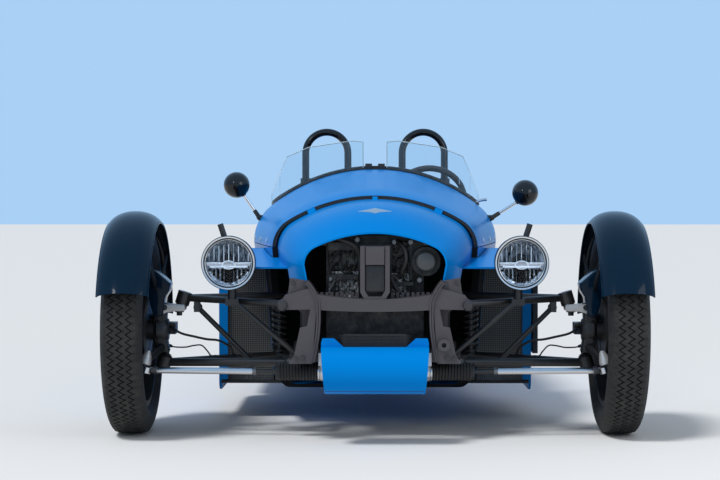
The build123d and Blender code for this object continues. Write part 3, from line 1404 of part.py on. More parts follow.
def pedals():
    plates = []
    for x in PEDAL_XS:
        plates.append(block((x - 28, x + 28), (PEDAL_Y, PEDAL_Y + 8), (330, 400)))
        plates.append(block((x - 6, x + 6), (BULKHEAD_Y, PEDAL_Y), (360, 380)))
    return plates[0] + plates[1:]


def towing_eye():
    mouth = CASTING_FRONT_Y - TOW_DEPTH
    boss = rod((TOW_X, mouth, TOW_Z), (TOW_X, CASTING_FRONT_Y + 12, TOW_Z), TOW_RADIUS + 12)
    return boss - rod((TOW_X, mouth - 1, TOW_Z), (TOW_X, CASTING_FRONT_Y, TOW_Z), TOW_RADIUS)


def build():
    shift = Pos(0, -ORIGIN_Y, 0)
    front_left = Pos(FRONT_WHEEL_X, 0, FRONT_TYRE_RADIUS)
    rear = Pos(0, WHEELBASE, REAR_TYRE_RADIUS)
    nodes = {
        "hull": hull() + pedals(),
        "bonnet": bonnet(),
        "vent_band": vent_band(),
        "nose_cowl": nose_cowl(),
        "bay_liner": bay_liner(),
        "tail_shell": tail_shell(),
        "boot_lid": boot_lid(),
        "engine_block": engine_block(),
        "front_casting": casting_legs() + towing_eye(),
        "casting_beam": casting_beam(),
        "engine_loop": engine_loop(),
        "front_frame": front_frame(),
        "wishbones": upper_wishbones() + lower_wishbones(),
        "pull_rods": pull_rods(),
        "dampers": dampers() + springs(),
        "rack_housing": rack_housing(),
        "rack_boots": rack_boots(),
        "rack_bar": rack_bar(),
        "headlamp_shells": headlamp_shells(),
        "headlamp_lenses": headlamp_lenses(),
        "lamp_brackets": lamp_brackets(),
        "chin_cover": chin_cover(),
        "lower_grille": lower_grille(),
        "side_pods": side_pods(),
        "radiators": pair(radiator()),
        "side_blades": side_blades(),
        "carrier_board": carrier_board(),
        "aeroscreens": aeroscreens(),
        "roll_hoops": roll_hoops(),
        "mirrors": mirrors(),
        "dashboard": dashboard(),
        "steering_column": steering_column(),
        "steering_wheel": steering_wheel(),
        "seats": seat_cushions() + seat_backs(),
        "cockpit_trim": cockpit_trim(),
        "tunnel": tunnel(),
        "swing_arm": swing_arm(),
        "bevel_box": bevel_box(),
        "drive_belt": drive_belt(),
        "rear_damper": rear_damper(),
        "rear_mudguard": rear_mudguard(),
        "tail_lamps": tail_lamps(),
        "plate_holder": plate_holder(),
        "exhaust": exhaust(),
        "rear_rim": rear * (rear_rim() + rear_pulley()),
        "rear_tyre": rear * tyre(REAR_RIM_RADIUS, REAR_RIM_WIDTH, REAR_TYRE_RADIUS, REAR_TYRE_WIDTH),
    }
    left = {
        "upright": upright(),
        "caliper": caliper(),
        "fender": fender(),
        "tie_rod": tie_rod(),
        "rim": front_left * (front_rim() + brake_disc()),
        "tyre": front_left * tyre(FRONT_RIM_RADIUS, FRONT_RIM_WIDTH, FRONT_TYRE_RADIUS, FRONT_TYRE_WIDTH),
    }
    for name, shape in left.items():
        nodes[name + "_left"] = shape
        nodes[name + "_right"] = mirror(shape, about=Plane.YZ)
    return {name: shift * shape for name, shape in nodes.items()}


if __name__ == "__main__":
    os.makedirs("parts", exist_ok=True)
    for name, shape in build().items():
        export_step(shape, f"parts/{name}.step")
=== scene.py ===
import json
import math

import bmesh
import bpy
from mathutils import Matrix, Vector, noise
from mathutils.bvhtree import BVHTree


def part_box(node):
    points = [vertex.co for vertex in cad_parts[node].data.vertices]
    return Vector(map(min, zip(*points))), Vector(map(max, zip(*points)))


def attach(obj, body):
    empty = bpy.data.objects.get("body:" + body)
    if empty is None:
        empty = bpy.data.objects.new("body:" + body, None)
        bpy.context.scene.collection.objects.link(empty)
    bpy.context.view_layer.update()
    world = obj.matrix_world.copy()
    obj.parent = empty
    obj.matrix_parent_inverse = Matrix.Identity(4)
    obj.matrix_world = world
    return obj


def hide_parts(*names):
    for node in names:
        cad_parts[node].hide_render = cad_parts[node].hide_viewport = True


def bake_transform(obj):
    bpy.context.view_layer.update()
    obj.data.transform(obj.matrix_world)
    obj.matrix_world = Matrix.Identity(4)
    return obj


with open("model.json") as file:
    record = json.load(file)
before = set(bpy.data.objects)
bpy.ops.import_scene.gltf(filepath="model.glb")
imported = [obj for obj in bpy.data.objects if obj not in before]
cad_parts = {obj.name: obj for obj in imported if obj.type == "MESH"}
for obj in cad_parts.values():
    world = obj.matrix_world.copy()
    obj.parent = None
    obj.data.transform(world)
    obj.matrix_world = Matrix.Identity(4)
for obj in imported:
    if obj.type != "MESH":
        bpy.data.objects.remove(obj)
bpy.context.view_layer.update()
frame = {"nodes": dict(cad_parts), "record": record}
nodes = frame["nodes"]
print("frame loaded:", len(nodes), "nodes")


# Small mesh helpers

def linkMesh(name, bm, smooth=True, angle=35):
    # Turns a bmesh into an object, shaded smooth up to the given edge angle
    mesh = bpy.data.meshes.new(name)
    bmesh.ops.recalc_face_normals(bm, faces=bm.faces)
    bm.to_mesh(mesh)
    bm.free()
    piece = bpy.data.objects.new(name, mesh)
    bpy.context.scene.collection.objects.link(piece)
    if smooth:
        smoothByAngle(piece, angle)
    return piece


def smoothByAngle(piece, angle=35):
    mesh = piece.data
    for poly in mesh.polygons:
        poly.use_smooth = True
    bm = bmesh.new()
    bm.from_mesh(mesh)
    limit = math.radians(angle)
    for edge in bm.edges:
        if len(edge.link_faces) == 2:
            edge.smooth = edge.calc_face_angle(0) < limit
    bm.to_mesh(mesh)
    bm.free()


def dress(piece, material, body):
    # Gives a piece its material and the body that it moves with
    piece.data.materials.clear()
    piece.data.materials.append(material)
    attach(piece, body)
    return piece


def frameAlong(direction):
    # Rotation whose Z runs along the direction
    return Vector(direction).to_track_quat("Z", "Y").to_matrix().to_4x4()


def fit(name, bm, finish, body="chassis", angle=35, smooth=True):
    # A bmesh as a piece in one finish, on the body that it moves with
    piece = linkMesh(name, bm, smooth, angle)
    return dress(piece, paint[finish], body)


def addStrip(bm, one, two, closed=True):
    # Quads between two rows of vertices
    count = len(one)
    for k in range(count if closed else count - 1):
        after = (k + 1) % count
        bm.faces.new((one[k], one[after], two[after], two[k]))


def addTube(bm, points, radius, sides=12, closed=False):
    # A tube of rings along a list of points, radius one value or one for each point
    count = len(points)
    points = [Vector(p) for p in points]
    radii = radius if isinstance(radius, (list, tuple)) else [radius] * count
    rings = []
    normal = None
    for i, point in enumerate(points):
        before = points[i - 1] if i > 0 or closed else point
        after = points[(i + 1) % count] if i < count - 1 or closed else point
        tangent = (after - before).normalized()
        if normal is None:
            normal = tangent.orthogonal().normalized()
        normal = (normal - tangent * normal.dot(tangent)).normalized()
        side = tangent.cross(normal)
        ring = []
        for k in range(sides):
            a = 2 * math.pi * k / sides
            ring.append(bm.verts.new(point + radii[i] * (normal * math.cos(a) + side * math.sin(a))))
        rings.append(ring)
    for i in range(count if closed else count - 1):
        addStrip(bm, rings[i], rings[(i + 1) % count])
    if not closed:
        bm.faces.new(rings[0][::-1])
        bm.faces.new(rings[-1])


def addRevolve(bm, profile, matrix, sides=48):
    # Turns a profile of (radius, height) points about the local Z of the matrix
    rows = []
    for k in range(sides):
        a = 2 * math.pi * k / sides
        across, up = math.cos(a), math.sin(a)
        rows.append([bm.verts.new(matrix @ Vector((r * across, r * up, h))) for r, h in profile])
    for k, row in enumerate(rows):
        addStrip(bm, row, rows[(k + 1) % sides], closed=False)
    bmesh.ops.remove_doubles(bm, verts=bm.verts, dist=1e-6)


def addTurned(bm, profile, matrix, sides=48):
    # The same for a profile in millimetres
    addRevolve(bm, [(mm(r), mm(h)) for r, h in profile], matrix, sides)


def addHexagon(bm, matrix, radius, height, taper=1.0):
    bmesh.ops.create_cone(bm, cap_ends=True, segments=6, radius1=radius, radius2=radius * taper, depth=height,
                          matrix=matrix)


def addBolt(bm, matrix, radius=0.008, height=0.006):
    # Hexagon head on a washer, standing on the local XY plane
    washer = radius * 1.45
    addRevolve(bm, [(0, 0), (washer, 0), (washer, height * 0.25), (0, height * 0.25)], matrix, 20)
    addHexagon(bm, matrix @ Matrix.Translation((0, 0, height * 0.75)), radius, height, 0.96)


# Shared shader groups

def newGroup(name, inputs, outputs):
    group = bpy.data.node_groups.new(name, "ShaderNodeTree")
    for label, kind, value in inputs:
        socket = group.interface.new_socket(name=label, in_out="INPUT", socket_type=kind)
        socket.default_value = value
    for label, kind in outputs:
        group.interface.new_socket(name=label, in_out="OUTPUT", socket_type=kind)
    start = group.nodes.new("NodeGroupInput")
    end = group.nodes.new("NodeGroupOutput")
    return group, start, end


def addNode(tree, kind, values=None):
    # A shader node, with constants on the sockets that are named
    node = tree.nodes.new(kind)
    for label, value in (values or {}).items():
        node.inputs[label].default_value = value
    return node


def grainGroup():
    # Fine noise for cast, moulded and painted skins: a height for bump and a mask for roughness
    group, start, end = newGroup(
        "Surface grain",
        [
            ("Scale", "NodeSocketFloat", 400.0),
            ("Detail", "NodeSocketFloat", 4.0),
            ("Contrast", "NodeSocketFloat", 1.0),
        ],
        [("Height", "NodeSocketFloat"), ("Mask", "NodeSocketFloat")],
    )
    link = group.links.new
    coords = addNode(group, "ShaderNodeTexCoord")
    fine = addNode(group, "ShaderNodeTexNoise")
    coarse = addNode(group, "ShaderNodeTexNoise", {"Scale": 9.0, "Detail": 5.0})
    spread = addNode(group, "ShaderNodeMath")
    spread.operation = "MULTIPLY"
    link(coords.outputs["Object"], fine.inputs["Vector"])
    link(coords.outputs["Object"], coarse.inputs["Vector"])
    link(start.outputs["Scale"], fine.inputs["Scale"])
    link(start.outputs["Detail"], fine.inputs["Detail"])
    link(fine.outputs["Fac"], spread.inputs[0])
    link(start.outputs["Contrast"], spread.inputs[1])
    link(spread.outputs[0], end.inputs["Height"])
    link(coarse.outputs["Fac"], end.inputs["Mask"])
    return group


def wearGroup():
    # Mixes two colours by dust in patches
    group, start, end = newGroup(
        "Dust and wear",
        [
            ("Clean", "NodeSocketColor", (0.1, 0.1, 0.1, 1)),
            ("Dust", "NodeSocketColor", (0.3, 0.27, 0.23, 1)),
            ("Amount", "NodeSocketFloat", 0.2),
            ("Scale", "NodeSocketFloat", 14.0),
        ],
        [("Color", "NodeSocketColor"), ("Mask", "NodeSocketFloat")],
    )
    link = group.links.new
    coords = addNode(group, "ShaderNodeTexCoord")
    patches = addNode(group, "ShaderNodeTexNoise", {"Detail": 8.0, "Roughness": 0.65})
    ramp = addNode(group, "ShaderNodeMapRange", {"From Min": 0.42, "From Max": 0.72})
    scaled = addNode(group, "ShaderNodeMath")
    scaled.operation = "MULTIPLY"
    mix = addNode(group, "ShaderNodeMix")
    mix.data_type = "RGBA"
    link(coords.outputs["Object"], patches.inputs["Vector"])
    link(start.outputs["Scale"], patches.inputs["Scale"])
    link(patches.outputs["Fac"], ramp.inputs["Value"])
    link(ramp.outputs[0], scaled.inputs[0])
    link(start.outputs["Amount"], scaled.inputs[1])
    link(scaled.outputs[0], mix.inputs["Factor"])
    link(start.outputs["Clean"], mix.inputs["A"])
    link(start.outputs["Dust"], mix.inputs["B"])
    link(mix.outputs["Result"], end.inputs["Color"])
    link(scaled.outputs[0], end.inputs["Mask"])
    return group


grain = grainGroup()
wear = wearGroup()


def newMaterial(name, settings):
    # One Principled surface: plain values first, then dust and grain where the settings ask for them
    material = bpy.data.materials.new(name)
    material.use_nodes = True
    tree = material.node_tree
    shader = tree.nodes["Principled BSDF"]
    color = tuple(settings["color"]) + (1,)
    rough = settings["rough"]
    plain = {"Base Color": color, "Roughness": rough, "Metallic": settings.get("metal", 0.0)}
    for label, value in {**settings.get("shader", {}), **plain}.items():
        shader.inputs[label].default_value = value
    if "dust" in settings:
        dirt = tree.nodes.new("ShaderNodeGroup")
        dirt.node_tree = wear
        dirt.inputs["Clean"].default_value = color
        dirt.inputs["Dust"].default_value = tuple(settings["dustColor"]) + (1,)
        dirt.inputs["Amount"].default_value = settings["dust"]
        dirt.inputs["Scale"].default_value = settings.get("dustScale", 14.0)
        tree.links.new(dirt.outputs["Color"], shader.inputs["Base Color"])
    if "grain" in settings:
        scale, strength, distance = settings["grain"]
        skin = tree.nodes.new("ShaderNodeGroup")
        skin.node_tree = grain
        skin.inputs["Scale"].default_value = scale
        bump = addNode(tree, "ShaderNodeBump", {"Strength": strength, "Distance": distance})
        tree.links.new(skin.outputs["Height"], bump.inputs["Height"])
        tree.links.new(bump.outputs["Normal"], shader.inputs["Normal"])
        if "roughSpread" in settings:
            low, high = rough - settings["roughSpread"], rough + settings["roughSpread"]
            spread = addNode(tree, "ShaderNodeMapRange", {"To Min": max(low, 0.02), "To Max": high})
            tree.links.new(skin.outputs["Mask"], spread.inputs["Value"])
            tree.links.new(spread.outputs[0], shader.inputs["Roughness"])
    return material


finishes = {
    "azurePaint": {"color": (0.0, 0.2, 0.62), "rough": 0.26, "roughSpread": 0.015,
        "shader": {"Coat Weight": 0.05, "Coat Roughness": 0.04, "Specular IOR Level": 0.02,
                   "Specular Tint": (0.35, 0.7, 1.0, 1)},
        "grain": (900.0, 0.0, 0.0003), "dust": 0.02, "dustColor": (0.02, 0.2, 0.55), "dustScale": 6.0},
    "navyPaint": {"color": (0.0006, 0.01, 0.026), "rough": 0.22, "roughSpread": 0.04,
        "shader": {"Coat Weight": 0.24, "Coat Roughness": 0.03, "Specular IOR Level": 0.06},
        "grain": (900.0, 0.01, 0.0003), "dust": 0.06, "dustColor": (0.012, 0.03, 0.055), "dustScale": 30.0},
    "castGrey": {"color": (0.072, 0.063, 0.068), "rough": 0.5, "roughSpread": 0.1, "metal": 0.25,
        "grain": (1500.0, 0.25, 0.0006), "dust": 0.2, "dustColor": (0.11, 0.1, 0.105)},
    "satinBlack": {"color": (0.012, 0.012, 0.013), "rough": 0.38, "roughSpread": 0.1,
        "grain": (1100.0, 0.15, 0.0005), "dust": 0.25, "dustColor": (0.05, 0.045, 0.04)},
    "glossBlack": {"color": (0.006, 0.006, 0.007), "rough": 0.14, "roughSpread": 0.03,
        "shader": {"Coat Weight": 0.35, "Coat Roughness": 0.05, "Specular IOR Level": 0.25},
        "grain": (800.0, 0.02, 0.0004)},
    "mouldedBlack": {"color": (0.018, 0.018, 0.019), "rough": 0.6, "roughSpread": 0.1,
        "grain": (1300.0, 0.3, 0.0006), "dust": 0.25, "dustColor": (0.07, 0.065, 0.06)},
    "engineMetal": {"color": (0.012, 0.012, 0.0125), "rough": 0.45, "roughSpread": 0.15, "metal": 0.45,
        "grain": (700.0, 0.4, 0.001), "dust": 0.6, "dustColor": (0.085, 0.083, 0.078), "dustScale": 30.0},
    "castCrust": {"color": (0.03, 0.03, 0.031), "rough": 0.4, "roughSpread": 0.15, "metal": 0.7,
        "grain": (320.0, 0.8, 0.002), "dust": 0.95, "dustColor": (0.5, 0.49, 0.47), "dustScale": 46.0},
    "darkIron": {"color": (0.03, 0.031, 0.034), "rough": 0.42, "roughSpread": 0.12, "metal": 0.6,
        "grain": (800.0, 0.25, 0.0006), "dust": 0.4, "dustColor": (0.07, 0.066, 0.06), "dustScale": 26.0},
    "dullBolt": {"color": (0.16, 0.16, 0.165), "rough": 0.36, "roughSpread": 0.1, "metal": 0.9,
        "grain": (700.0, 0.15, 0.0004)},
    "bareAlloy": {"color": (0.62, 0.62, 0.63), "rough": 0.34, "roughSpread": 0.1, "metal": 1.0,
        "grain": (1200.0, 0.1, 0.0004)},
    "brightSteel": {"color": (0.58, 0.58, 0.59), "rough": 0.2, "roughSpread": 0.06, "metal": 1.0,
        "grain": (600.0, 0.04, 0.0003)},
    "chrome": {"color": (0.72, 0.73, 0.75), "rough": 0.08, "metal": 1.0, "grain": (500.0, 0.01, 0.0002)},
    "lampChrome": {"color": (0.74, 0.75, 0.77), "rough": 0.3, "metal": 1.0, "grain": (500.0, 0.02, 0.0002)},
    "lampDark": {"color": (0.004, 0.004, 0.005), "rough": 0.85, "shader": {"Specular IOR Level": 0.1},
        "grain": (500.0, 0.02, 0.0003)},
    "stayAndShadeBlack": {"color": (0.006, 0.006, 0.007), "rough": 0.8, "shader": {"Specular IOR Level": 0.2},
        "grain": (260.0, 0.4, 0.001), "dust": 0.3, "dustColor": (0.014, 0.013, 0.012)},
    "bootRubber": {"color": (0.014, 0.014, 0.015), "rough": 0.55, "roughSpread": 0.1,
        "grain": (900.0, 0.15, 0.0005)},
    "tyreRubber": {"color": (0.02, 0.02, 0.02), "rough": 0.72, "roughSpread": 0.1,
        "shader": {"Specular IOR Level": 0.3}, "grain": (1000.0, 0.3, 0.0006), "dust": 0.5,
        "dustColor": (0.055, 0.05, 0.045), "dustScale": 22.0},
    "rimPaint": {"color": (0.012, 0.012, 0.014), "rough": 0.48, "roughSpread": 0.08,
        "shader": {"Specular IOR Level": 0.3}, "grain": (900.0, 0.05, 0.0004), "dust": 0.3,
        "dustColor": (0.04, 0.036, 0.032), "dustScale": 20.0},
    "leather": {"color": (0.03, 0.024, 0.02), "rough": 0.5, "roughSpread": 0.08,
        "grain": (420.0, 0.45, 0.0012)},
    "redLens": {"color": (0.45, 0.01, 0.008), "rough": 0.12, "shader": {"Coat Weight": 0.8}},
    "castBolt": {"color": (0.07, 0.065, 0.068), "rough": 0.35, "roughSpread": 0.1, "metal": 0.7,
        "grain": (700.0, 0.1, 0.0004)},
    "piping": {"color": (0.02, 0.02, 0.022), "rough": 0.35, "grain": (900.0, 0.1, 0.0004)},
    "lightBar": {"color": (0.85, 0.9, 0.94), "rough": 0.15, "grain": (500.0, 0.05, 0.0003)},
    "capGrey": {"color": (0.055, 0.06, 0.066), "rough": 0.32, "roughSpread": 0.08,
        "grain": (900.0, 0.06, 0.0004)},
    "castAlloy": {"color": (0.5, 0.5, 0.5), "rough": 0.42, "roughSpread": 0.1, "metal": 0.5,
        "grain": (600.0, 0.3, 0.0008), "dust": 0.3, "dustColor": (0.25, 0.24, 0.22)},
    "glassEdge": {"color": (0.62, 0.74, 0.76), "rough": 0.15, "grain": (500.0, 0.03, 0.0003)},
    "mirrorGlass": {"color": (0.8, 0.84, 0.87), "rough": 0.03, "metal": 1.0},
    "discSteel": {"color": (0.055, 0.054, 0.053), "rough": 0.5, "roughSpread": 0.1, "metal": 0.8,
        "grain": (1500.0, 0.12, 0.0004)},
    "wireGrey": {"color": (0.15, 0.15, 0.146), "rough": 0.5, "roughSpread": 0.1, "metal": 0.3,
        "grain": (800.0, 0.1, 0.0004)},
    "chinWire": {"color": (0.045, 0.045, 0.046), "rough": 0.45, "roughSpread": 0.1, "metal": 0.5,
        "grain": (800.0, 0.1, 0.0004)},
    "dialFace": {"color": (0.02, 0.021, 0.022), "rough": 0.4, "grain": (900.0, 0.08, 0.0004)},
    "dialMark": {"color": (0.75, 0.74, 0.7), "rough": 0.5, "grain": (900.0, 0.05, 0.0003)},
    "plateWhite": {"color": (0.72, 0.72, 0.7), "rough": 0.35, "grain": (900.0, 0.05, 0.0003), "dust": 0.2,
        "dustColor": (0.5, 0.48, 0.44)},
    "heatShield": {"color": (0.3, 0.29, 0.28), "rough": 0.35, "roughSpread": 0.12, "metal": 1.0,
        "grain": (700.0, 0.15, 0.0005)},
}
paint = {name: newMaterial(name, settings) for name, settings in finishes.items()}


def glassMaterial(name, tint, index=1.45, rough=0.02):
    material = bpy.data.materials.new(name)
    material.use_nodes = True
    shader = material.node_tree.nodes["Principled BSDF"]
    shader.inputs["Base Color"].default_value = tint + (1,)
    shader.inputs["Roughness"].default_value = rough
    shader.inputs["Transmission Weight"].default_value = 1.0
    shader.inputs["IOR"].default_value = index
    return material


paint["screenClear"] = glassMaterial("screenClear", (0.84, 0.91, 0.94))
paint["lampGlass"] = glassMaterial("lampGlass", (0.95, 0.97, 1.0), 1.16)
print("materials made:", len(paint))

# Finishes of each material slot: the CAD nodes take the first one
slotFinishes = {
    "body_paint": ["azurePaint"], "fender_paint": ["navyPaint"], "casting_paint": ["castGrey"],
    "rim_paint": ["rimPaint"], "lamp_glass": ["lampGlass"], "lamp_red": ["redLens"],
    "screen_glass": ["screenClear", "glassEdge"], "black_leather": ["leather", "piping"],
    "black_plastic": ["mouldedBlack", "capGrey", "dialFace"],
    "black_metal": ["satinBlack", "darkIron", "castBolt", "stayAndShadeBlack", "wireGrey", "chinWire"],
    "gloss_black": ["glossBlack", "lampDark"], "engine_metal": ["engineMetal", "castCrust"],
    "bare_alloy": ["bareAlloy", "castAlloy"], "belt_rubber": ["bootRubber"], "boot_rubber": ["bootRubber"],
    "tyre_rubber": ["tyreRubber"],
    "bright_steel": ["brightSteel", "dullBolt", "chrome", "lampChrome", "reflector", "lightBar",
                     "mirrorGlass", "discSteel", "dialMark", "plateWhite", "heatShield"],
}
for row in frame["record"]["subparts"]:
    piece = nodes[row["node"]]
    piece.data.materials.clear()
    piece.data.materials.append(paint[slotFinishes[row["material_slot"]][0]])
print("CAD nodes painted")


# Place helpers: millimetres, measured from the front axle's middle on the ground

axleOffset = sum(corner[1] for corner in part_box("tyre_left")) / 2
flanks = ((1, "left"), (-1, "right"))  # the car's own left is +X
hubHeight = 360
rearAxle = (2520, 317)


def spot(x, y, z):
    return Vector((x / 1000, axleOffset + y / 1000, z / 1000))


def mm(value):
    return value / 1000


def surfaceTree(*names):
    # One search tree over CAD nodes, for laying trim on their skin
    bm = bmesh.new()
    for name in names:
        bm.from_mesh(nodes[name].data)
    tree = BVHTree.FromBMesh(bm)
    bm.free()
    return tree


def dropOn(tree, x, y, top=1400):
    # Height in millimetres of the skin under a point
    hit = tree.ray_cast(spot(x, y, top), Vector((0, 0, -1)))[0]
    return hit.z * 1000 if hit else None


def addBox(bm, low, high):
    centre = [(a + b) / 2 for a, b in zip(low, high)]
    size = [mm(b - a) for a, b in zip(low, high)]
    bmesh.ops.create_cube(bm, size=1, matrix=Matrix.Translation(spot(*centre)) @ Matrix.Diagonal((*size, 1)))


def bevelAll(bm, width, segments=2, angle=30):
    limit = math.radians(angle)
    edges = [e for e in bm.edges if len(e.link_faces) == 2 and e.calc_face_angle(0) > limit]
    bmesh.ops.bevel(bm, geom=edges, offset=width / 1000, segments=segments, affect="EDGES", profile=0.6)


def place(origin, direction):
    # Matrix whose origin is a spot and whose Z runs along the direction
    return Matrix.Translation(spot(*origin)) @ frameAlong(direction)


def circlePoints(count, radius, shift=0.0):
    # Points spread evenly round a circle
    angles = [2 * math.pi * (i + shift) / count for i in range(count)]
    return [(radius * math.cos(a), radius * math.sin(a)) for a in angles]


def ends(low, high, steps):
    # Evenly spaced values from one end to the other
    return [low + (high - low) * i / steps for i in range(steps + 1)]


def smoothPath(points, steps=8):
    # Catmull-Rom curve through the points
    points = [Vector(p) for p in points]
    out = []
    for i in range(len(points) - 1):
        p0, p1, p2 = points[max(i - 1, 0)], points[i], points[i + 1]
        p3 = points[min(i + 2, len(points) - 1)]
        for k in range(steps):
            t = k / steps
            out.append(0.5 * ((2 * p1) + (p2 - p0) * t + (2 * p0 - 5 * p1 + 4 * p2 - p3) * t * t
                              + (3 * p1 - p0 - 3 * p2 + p3) * t ** 3))
    return out + [points[-1]]


# Tyres: zigzag grooves run between rows of the mesh, so that their edges are sharp

tyreSizes = {
    "front": {
        "rim": 254, "rimWidth": 104, "radius": 360, "width": 138, "grooves": (-30, 0, 30), "zigs": 90,
        "grooveWidth": 6.4, "grooveDepth": 6.5, "swing": 9.5, "shoulderCut": 3.6,
    },
    "rear": {
        "rim": 190, "rimWidth": 168, "radius": 317, "width": 195, "grooves": (-54, -18, 18, 54), "zigs": 76,
        "grooveWidth": 7.0, "grooveDepth": 6.5, "swing": 10.5, "shoulderCut": 3.6,
    },
}


def arcThrough(a, b, c, count):
    # Points of the circle through three points, without the last one
    ax, ay, bx, by, cx, cy = *a, *b, *c
    d = 2 * (ax * (by - cy) + bx * (cy - ay) + cx * (ay - by))
    sa, sb, sc = ax * ax + ay * ay, bx * bx + by * by, cx * cx + cy * cy
    ux = (sa * (by - cy) + sb * (cy - ay) + sc * (ay - by)) / d
    uy = (sa * (cx - bx) + sb * (ax - cx) + sc * (bx - ax)) / d
    start, middle, end = (math.atan2(p[1] - uy, p[0] - ux) for p in (a, b, c))
    while end < start:
        end += 2 * math.pi
    if not start <= middle + (2 * math.pi if middle < start else 0) <= end:
        end -= 2 * math.pi
    radius = math.hypot(ax - ux, ay - uy)
    angles = [start + (end - start) * i / count for i in range(count)]
    return [(ux + radius * math.cos(t), uy + radius * math.sin(t)) for t in angles]


def tyreColumns(size):
    # Across the tyre: (x, radius, zigzag share, groove share, shoulder share)
    bead = size["rimWidth"] / 2 - 6
    wide = size["width"] / 2
    flange = size["rim"] + 13
    middle = (flange + size["radius"]) / 2
    shoulder = wide - 0.12 * size["width"]
    drop = 0.04 * size["width"]
    curve = (shoulder**2 + drop**2) / (2 * drop)

    def crown(x):
        return size["radius"] - (curve - math.sqrt(curve**2 - x * x))

    side = arcThrough((bead, flange), (wide, middle), (shoulder, size["radius"] - drop), 12)
    right = []
    for i, (x, r) in enumerate(side):
        swell = 1.4 if i in (4, 5) else 0.0  # the raised line round the sidewall
        right.append((x + swell, r, 0, 0, 1 if i >= 10 else 0))
    for inset, cut in ((0, 1), (7, 1), (8, 0)):
        right.append((shoulder - inset, crown(shoulder - inset), 0, 0, cut))
    left = [(-x, r, z, g, s) for x, r, z, g, s in right]
    tread = []
    half = size["grooveWidth"] / 2
    stops = list(size["grooves"])
    for i, x in enumerate(stops):
        for shift, depth in ((-half - 0.8, 0), (-half, 1), (half, 1), (half + 0.8, 0)):
            tread.append((x + shift, crown(x + shift), 1, depth, 0))
        if i < len(stops) - 1:
            between = (x + stops[i + 1]) / 2
            for shift in (-4, 4):
                tread.append((between + shift, crown(between + shift), 0, 0, 0.6))
    foot = size["rim"] + 2
    return [(bead, foot, 0, 0, 0)] + right + tread[::-1] + left[::-1] + [(-bead, foot, 0, 0, 0)]


def makeTyre(name, size, centre, body, node):
    columns = tyreColumns(size)
    rows = size["zigs"] * 4
    bm = bmesh.new()
    grid = []
    for i in range(rows):
        a = 2 * math.pi * i / rows
        wave = (0, 1, 0, -1)[i % 4]
        line = []
        for x, r, zig, groove, cut in columns:
            depth = groove * size["grooveDepth"]
            if cut and i % 4 == 1:
                depth += size["shoulderCut"] * cut
            reach = mm(r - depth)
            x += zig * wave * size["swing"]
            line.append(bm.verts.new((mm(x), reach * math.cos(a), reach * math.sin(a))))
        grid.append(line)
    for i in range(rows):
        one, two = grid[i], grid[(i + 1) % rows]
        for k in range(len(columns) - 1):
            bm.faces.new((one[k], two[k], two[k + 1], one[k + 1]))
        bm.faces.new((one[-1], two[-1], two[0], one[0]))
    bmesh.ops.translate(bm, verts=bm.verts, vec=spot(*centre))
    tyre = fit(name, bm, "tyreRubber", body, angle=32)
    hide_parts(node)


makeTyre("tyreTreadLeft", tyreSizes["front"], (842, 0, 360), "front_wheel_left", "tyre_left")
makeTyre("tyreTreadRight", tyreSizes["front"], (-842, 0, 360), "front_wheel_right", "tyre_right")
makeTyre("tyreTreadRear", tyreSizes["rear"], (0, 2520, 317), "rear_wheel", "rear_tyre")
print("tyres cut")


# Wheel fittings: nuts, valve and centre ring, turned with the wheel

wheelTrim = {
    "nuts": 5, "nutX": 853, "nutCircle": 52, "nutRadius": 9, "nutHeight": 12, "capX": 870, "capRadius": 27,
    "valveRadius": 232, "valve": [(0, 0), (3.5, 0), (3.5, 22), (4.5, 22), (4.5, 30), (0, 30)],
}


def makeWheelTrim():
    size = wheelTrim
    cap = size["capRadius"]
    for s, side in flanks:
        bm = bmesh.new()
        for y, z in circlePoints(size["nuts"], size["nutCircle"]):
            nut = place((s * size["nutX"], y, hubHeight + z), (s, 0, 0))
            addBolt(bm, nut, mm(size["nutRadius"]), mm(size["nutHeight"]))
        fit(f"wheelNuts_{side}", bm, "brightSteel", f"front_wheel_{side}", angle=30)
        bm = bmesh.new()
        profile = [(0, 8), (cap - 9, 7), (cap - 4, 4), (cap, 0), (cap, -2), (0, -2)]
        addTurned(bm, profile, place((s * size["capX"], 0, hubHeight), (s, 0, 0)), 40)
        valve = place((s * size["capX"], 0, hubHeight - size["valveRadius"]), (s, 0, 0.5))
        addTurned(bm, size["valve"], valve, 14)
        fit(f"wheelCap_{side}", bm, "glossBlack", f"front_wheel_{side}")


makeWheelTrim()


# Headlamp units: plated ring, black inner ring, reflector with painted reflection in stripes and its light
# bar, and a domed glass

lampSizes = {
    "x": 494, "y": -205, "z": 598, "ringOuter": 91.5, "ringInner": 83.5, "innerRing": 78.5, "bowlDepth": 58,
    "barWidth": 128, "barDrop": 13, "glassBulge": 9, "flutes": 9, "flutePitch": 16.5, "fins": 4,
    "finPitch": 14, "facets": 18, "facetSize": (9, 3, 9),
}


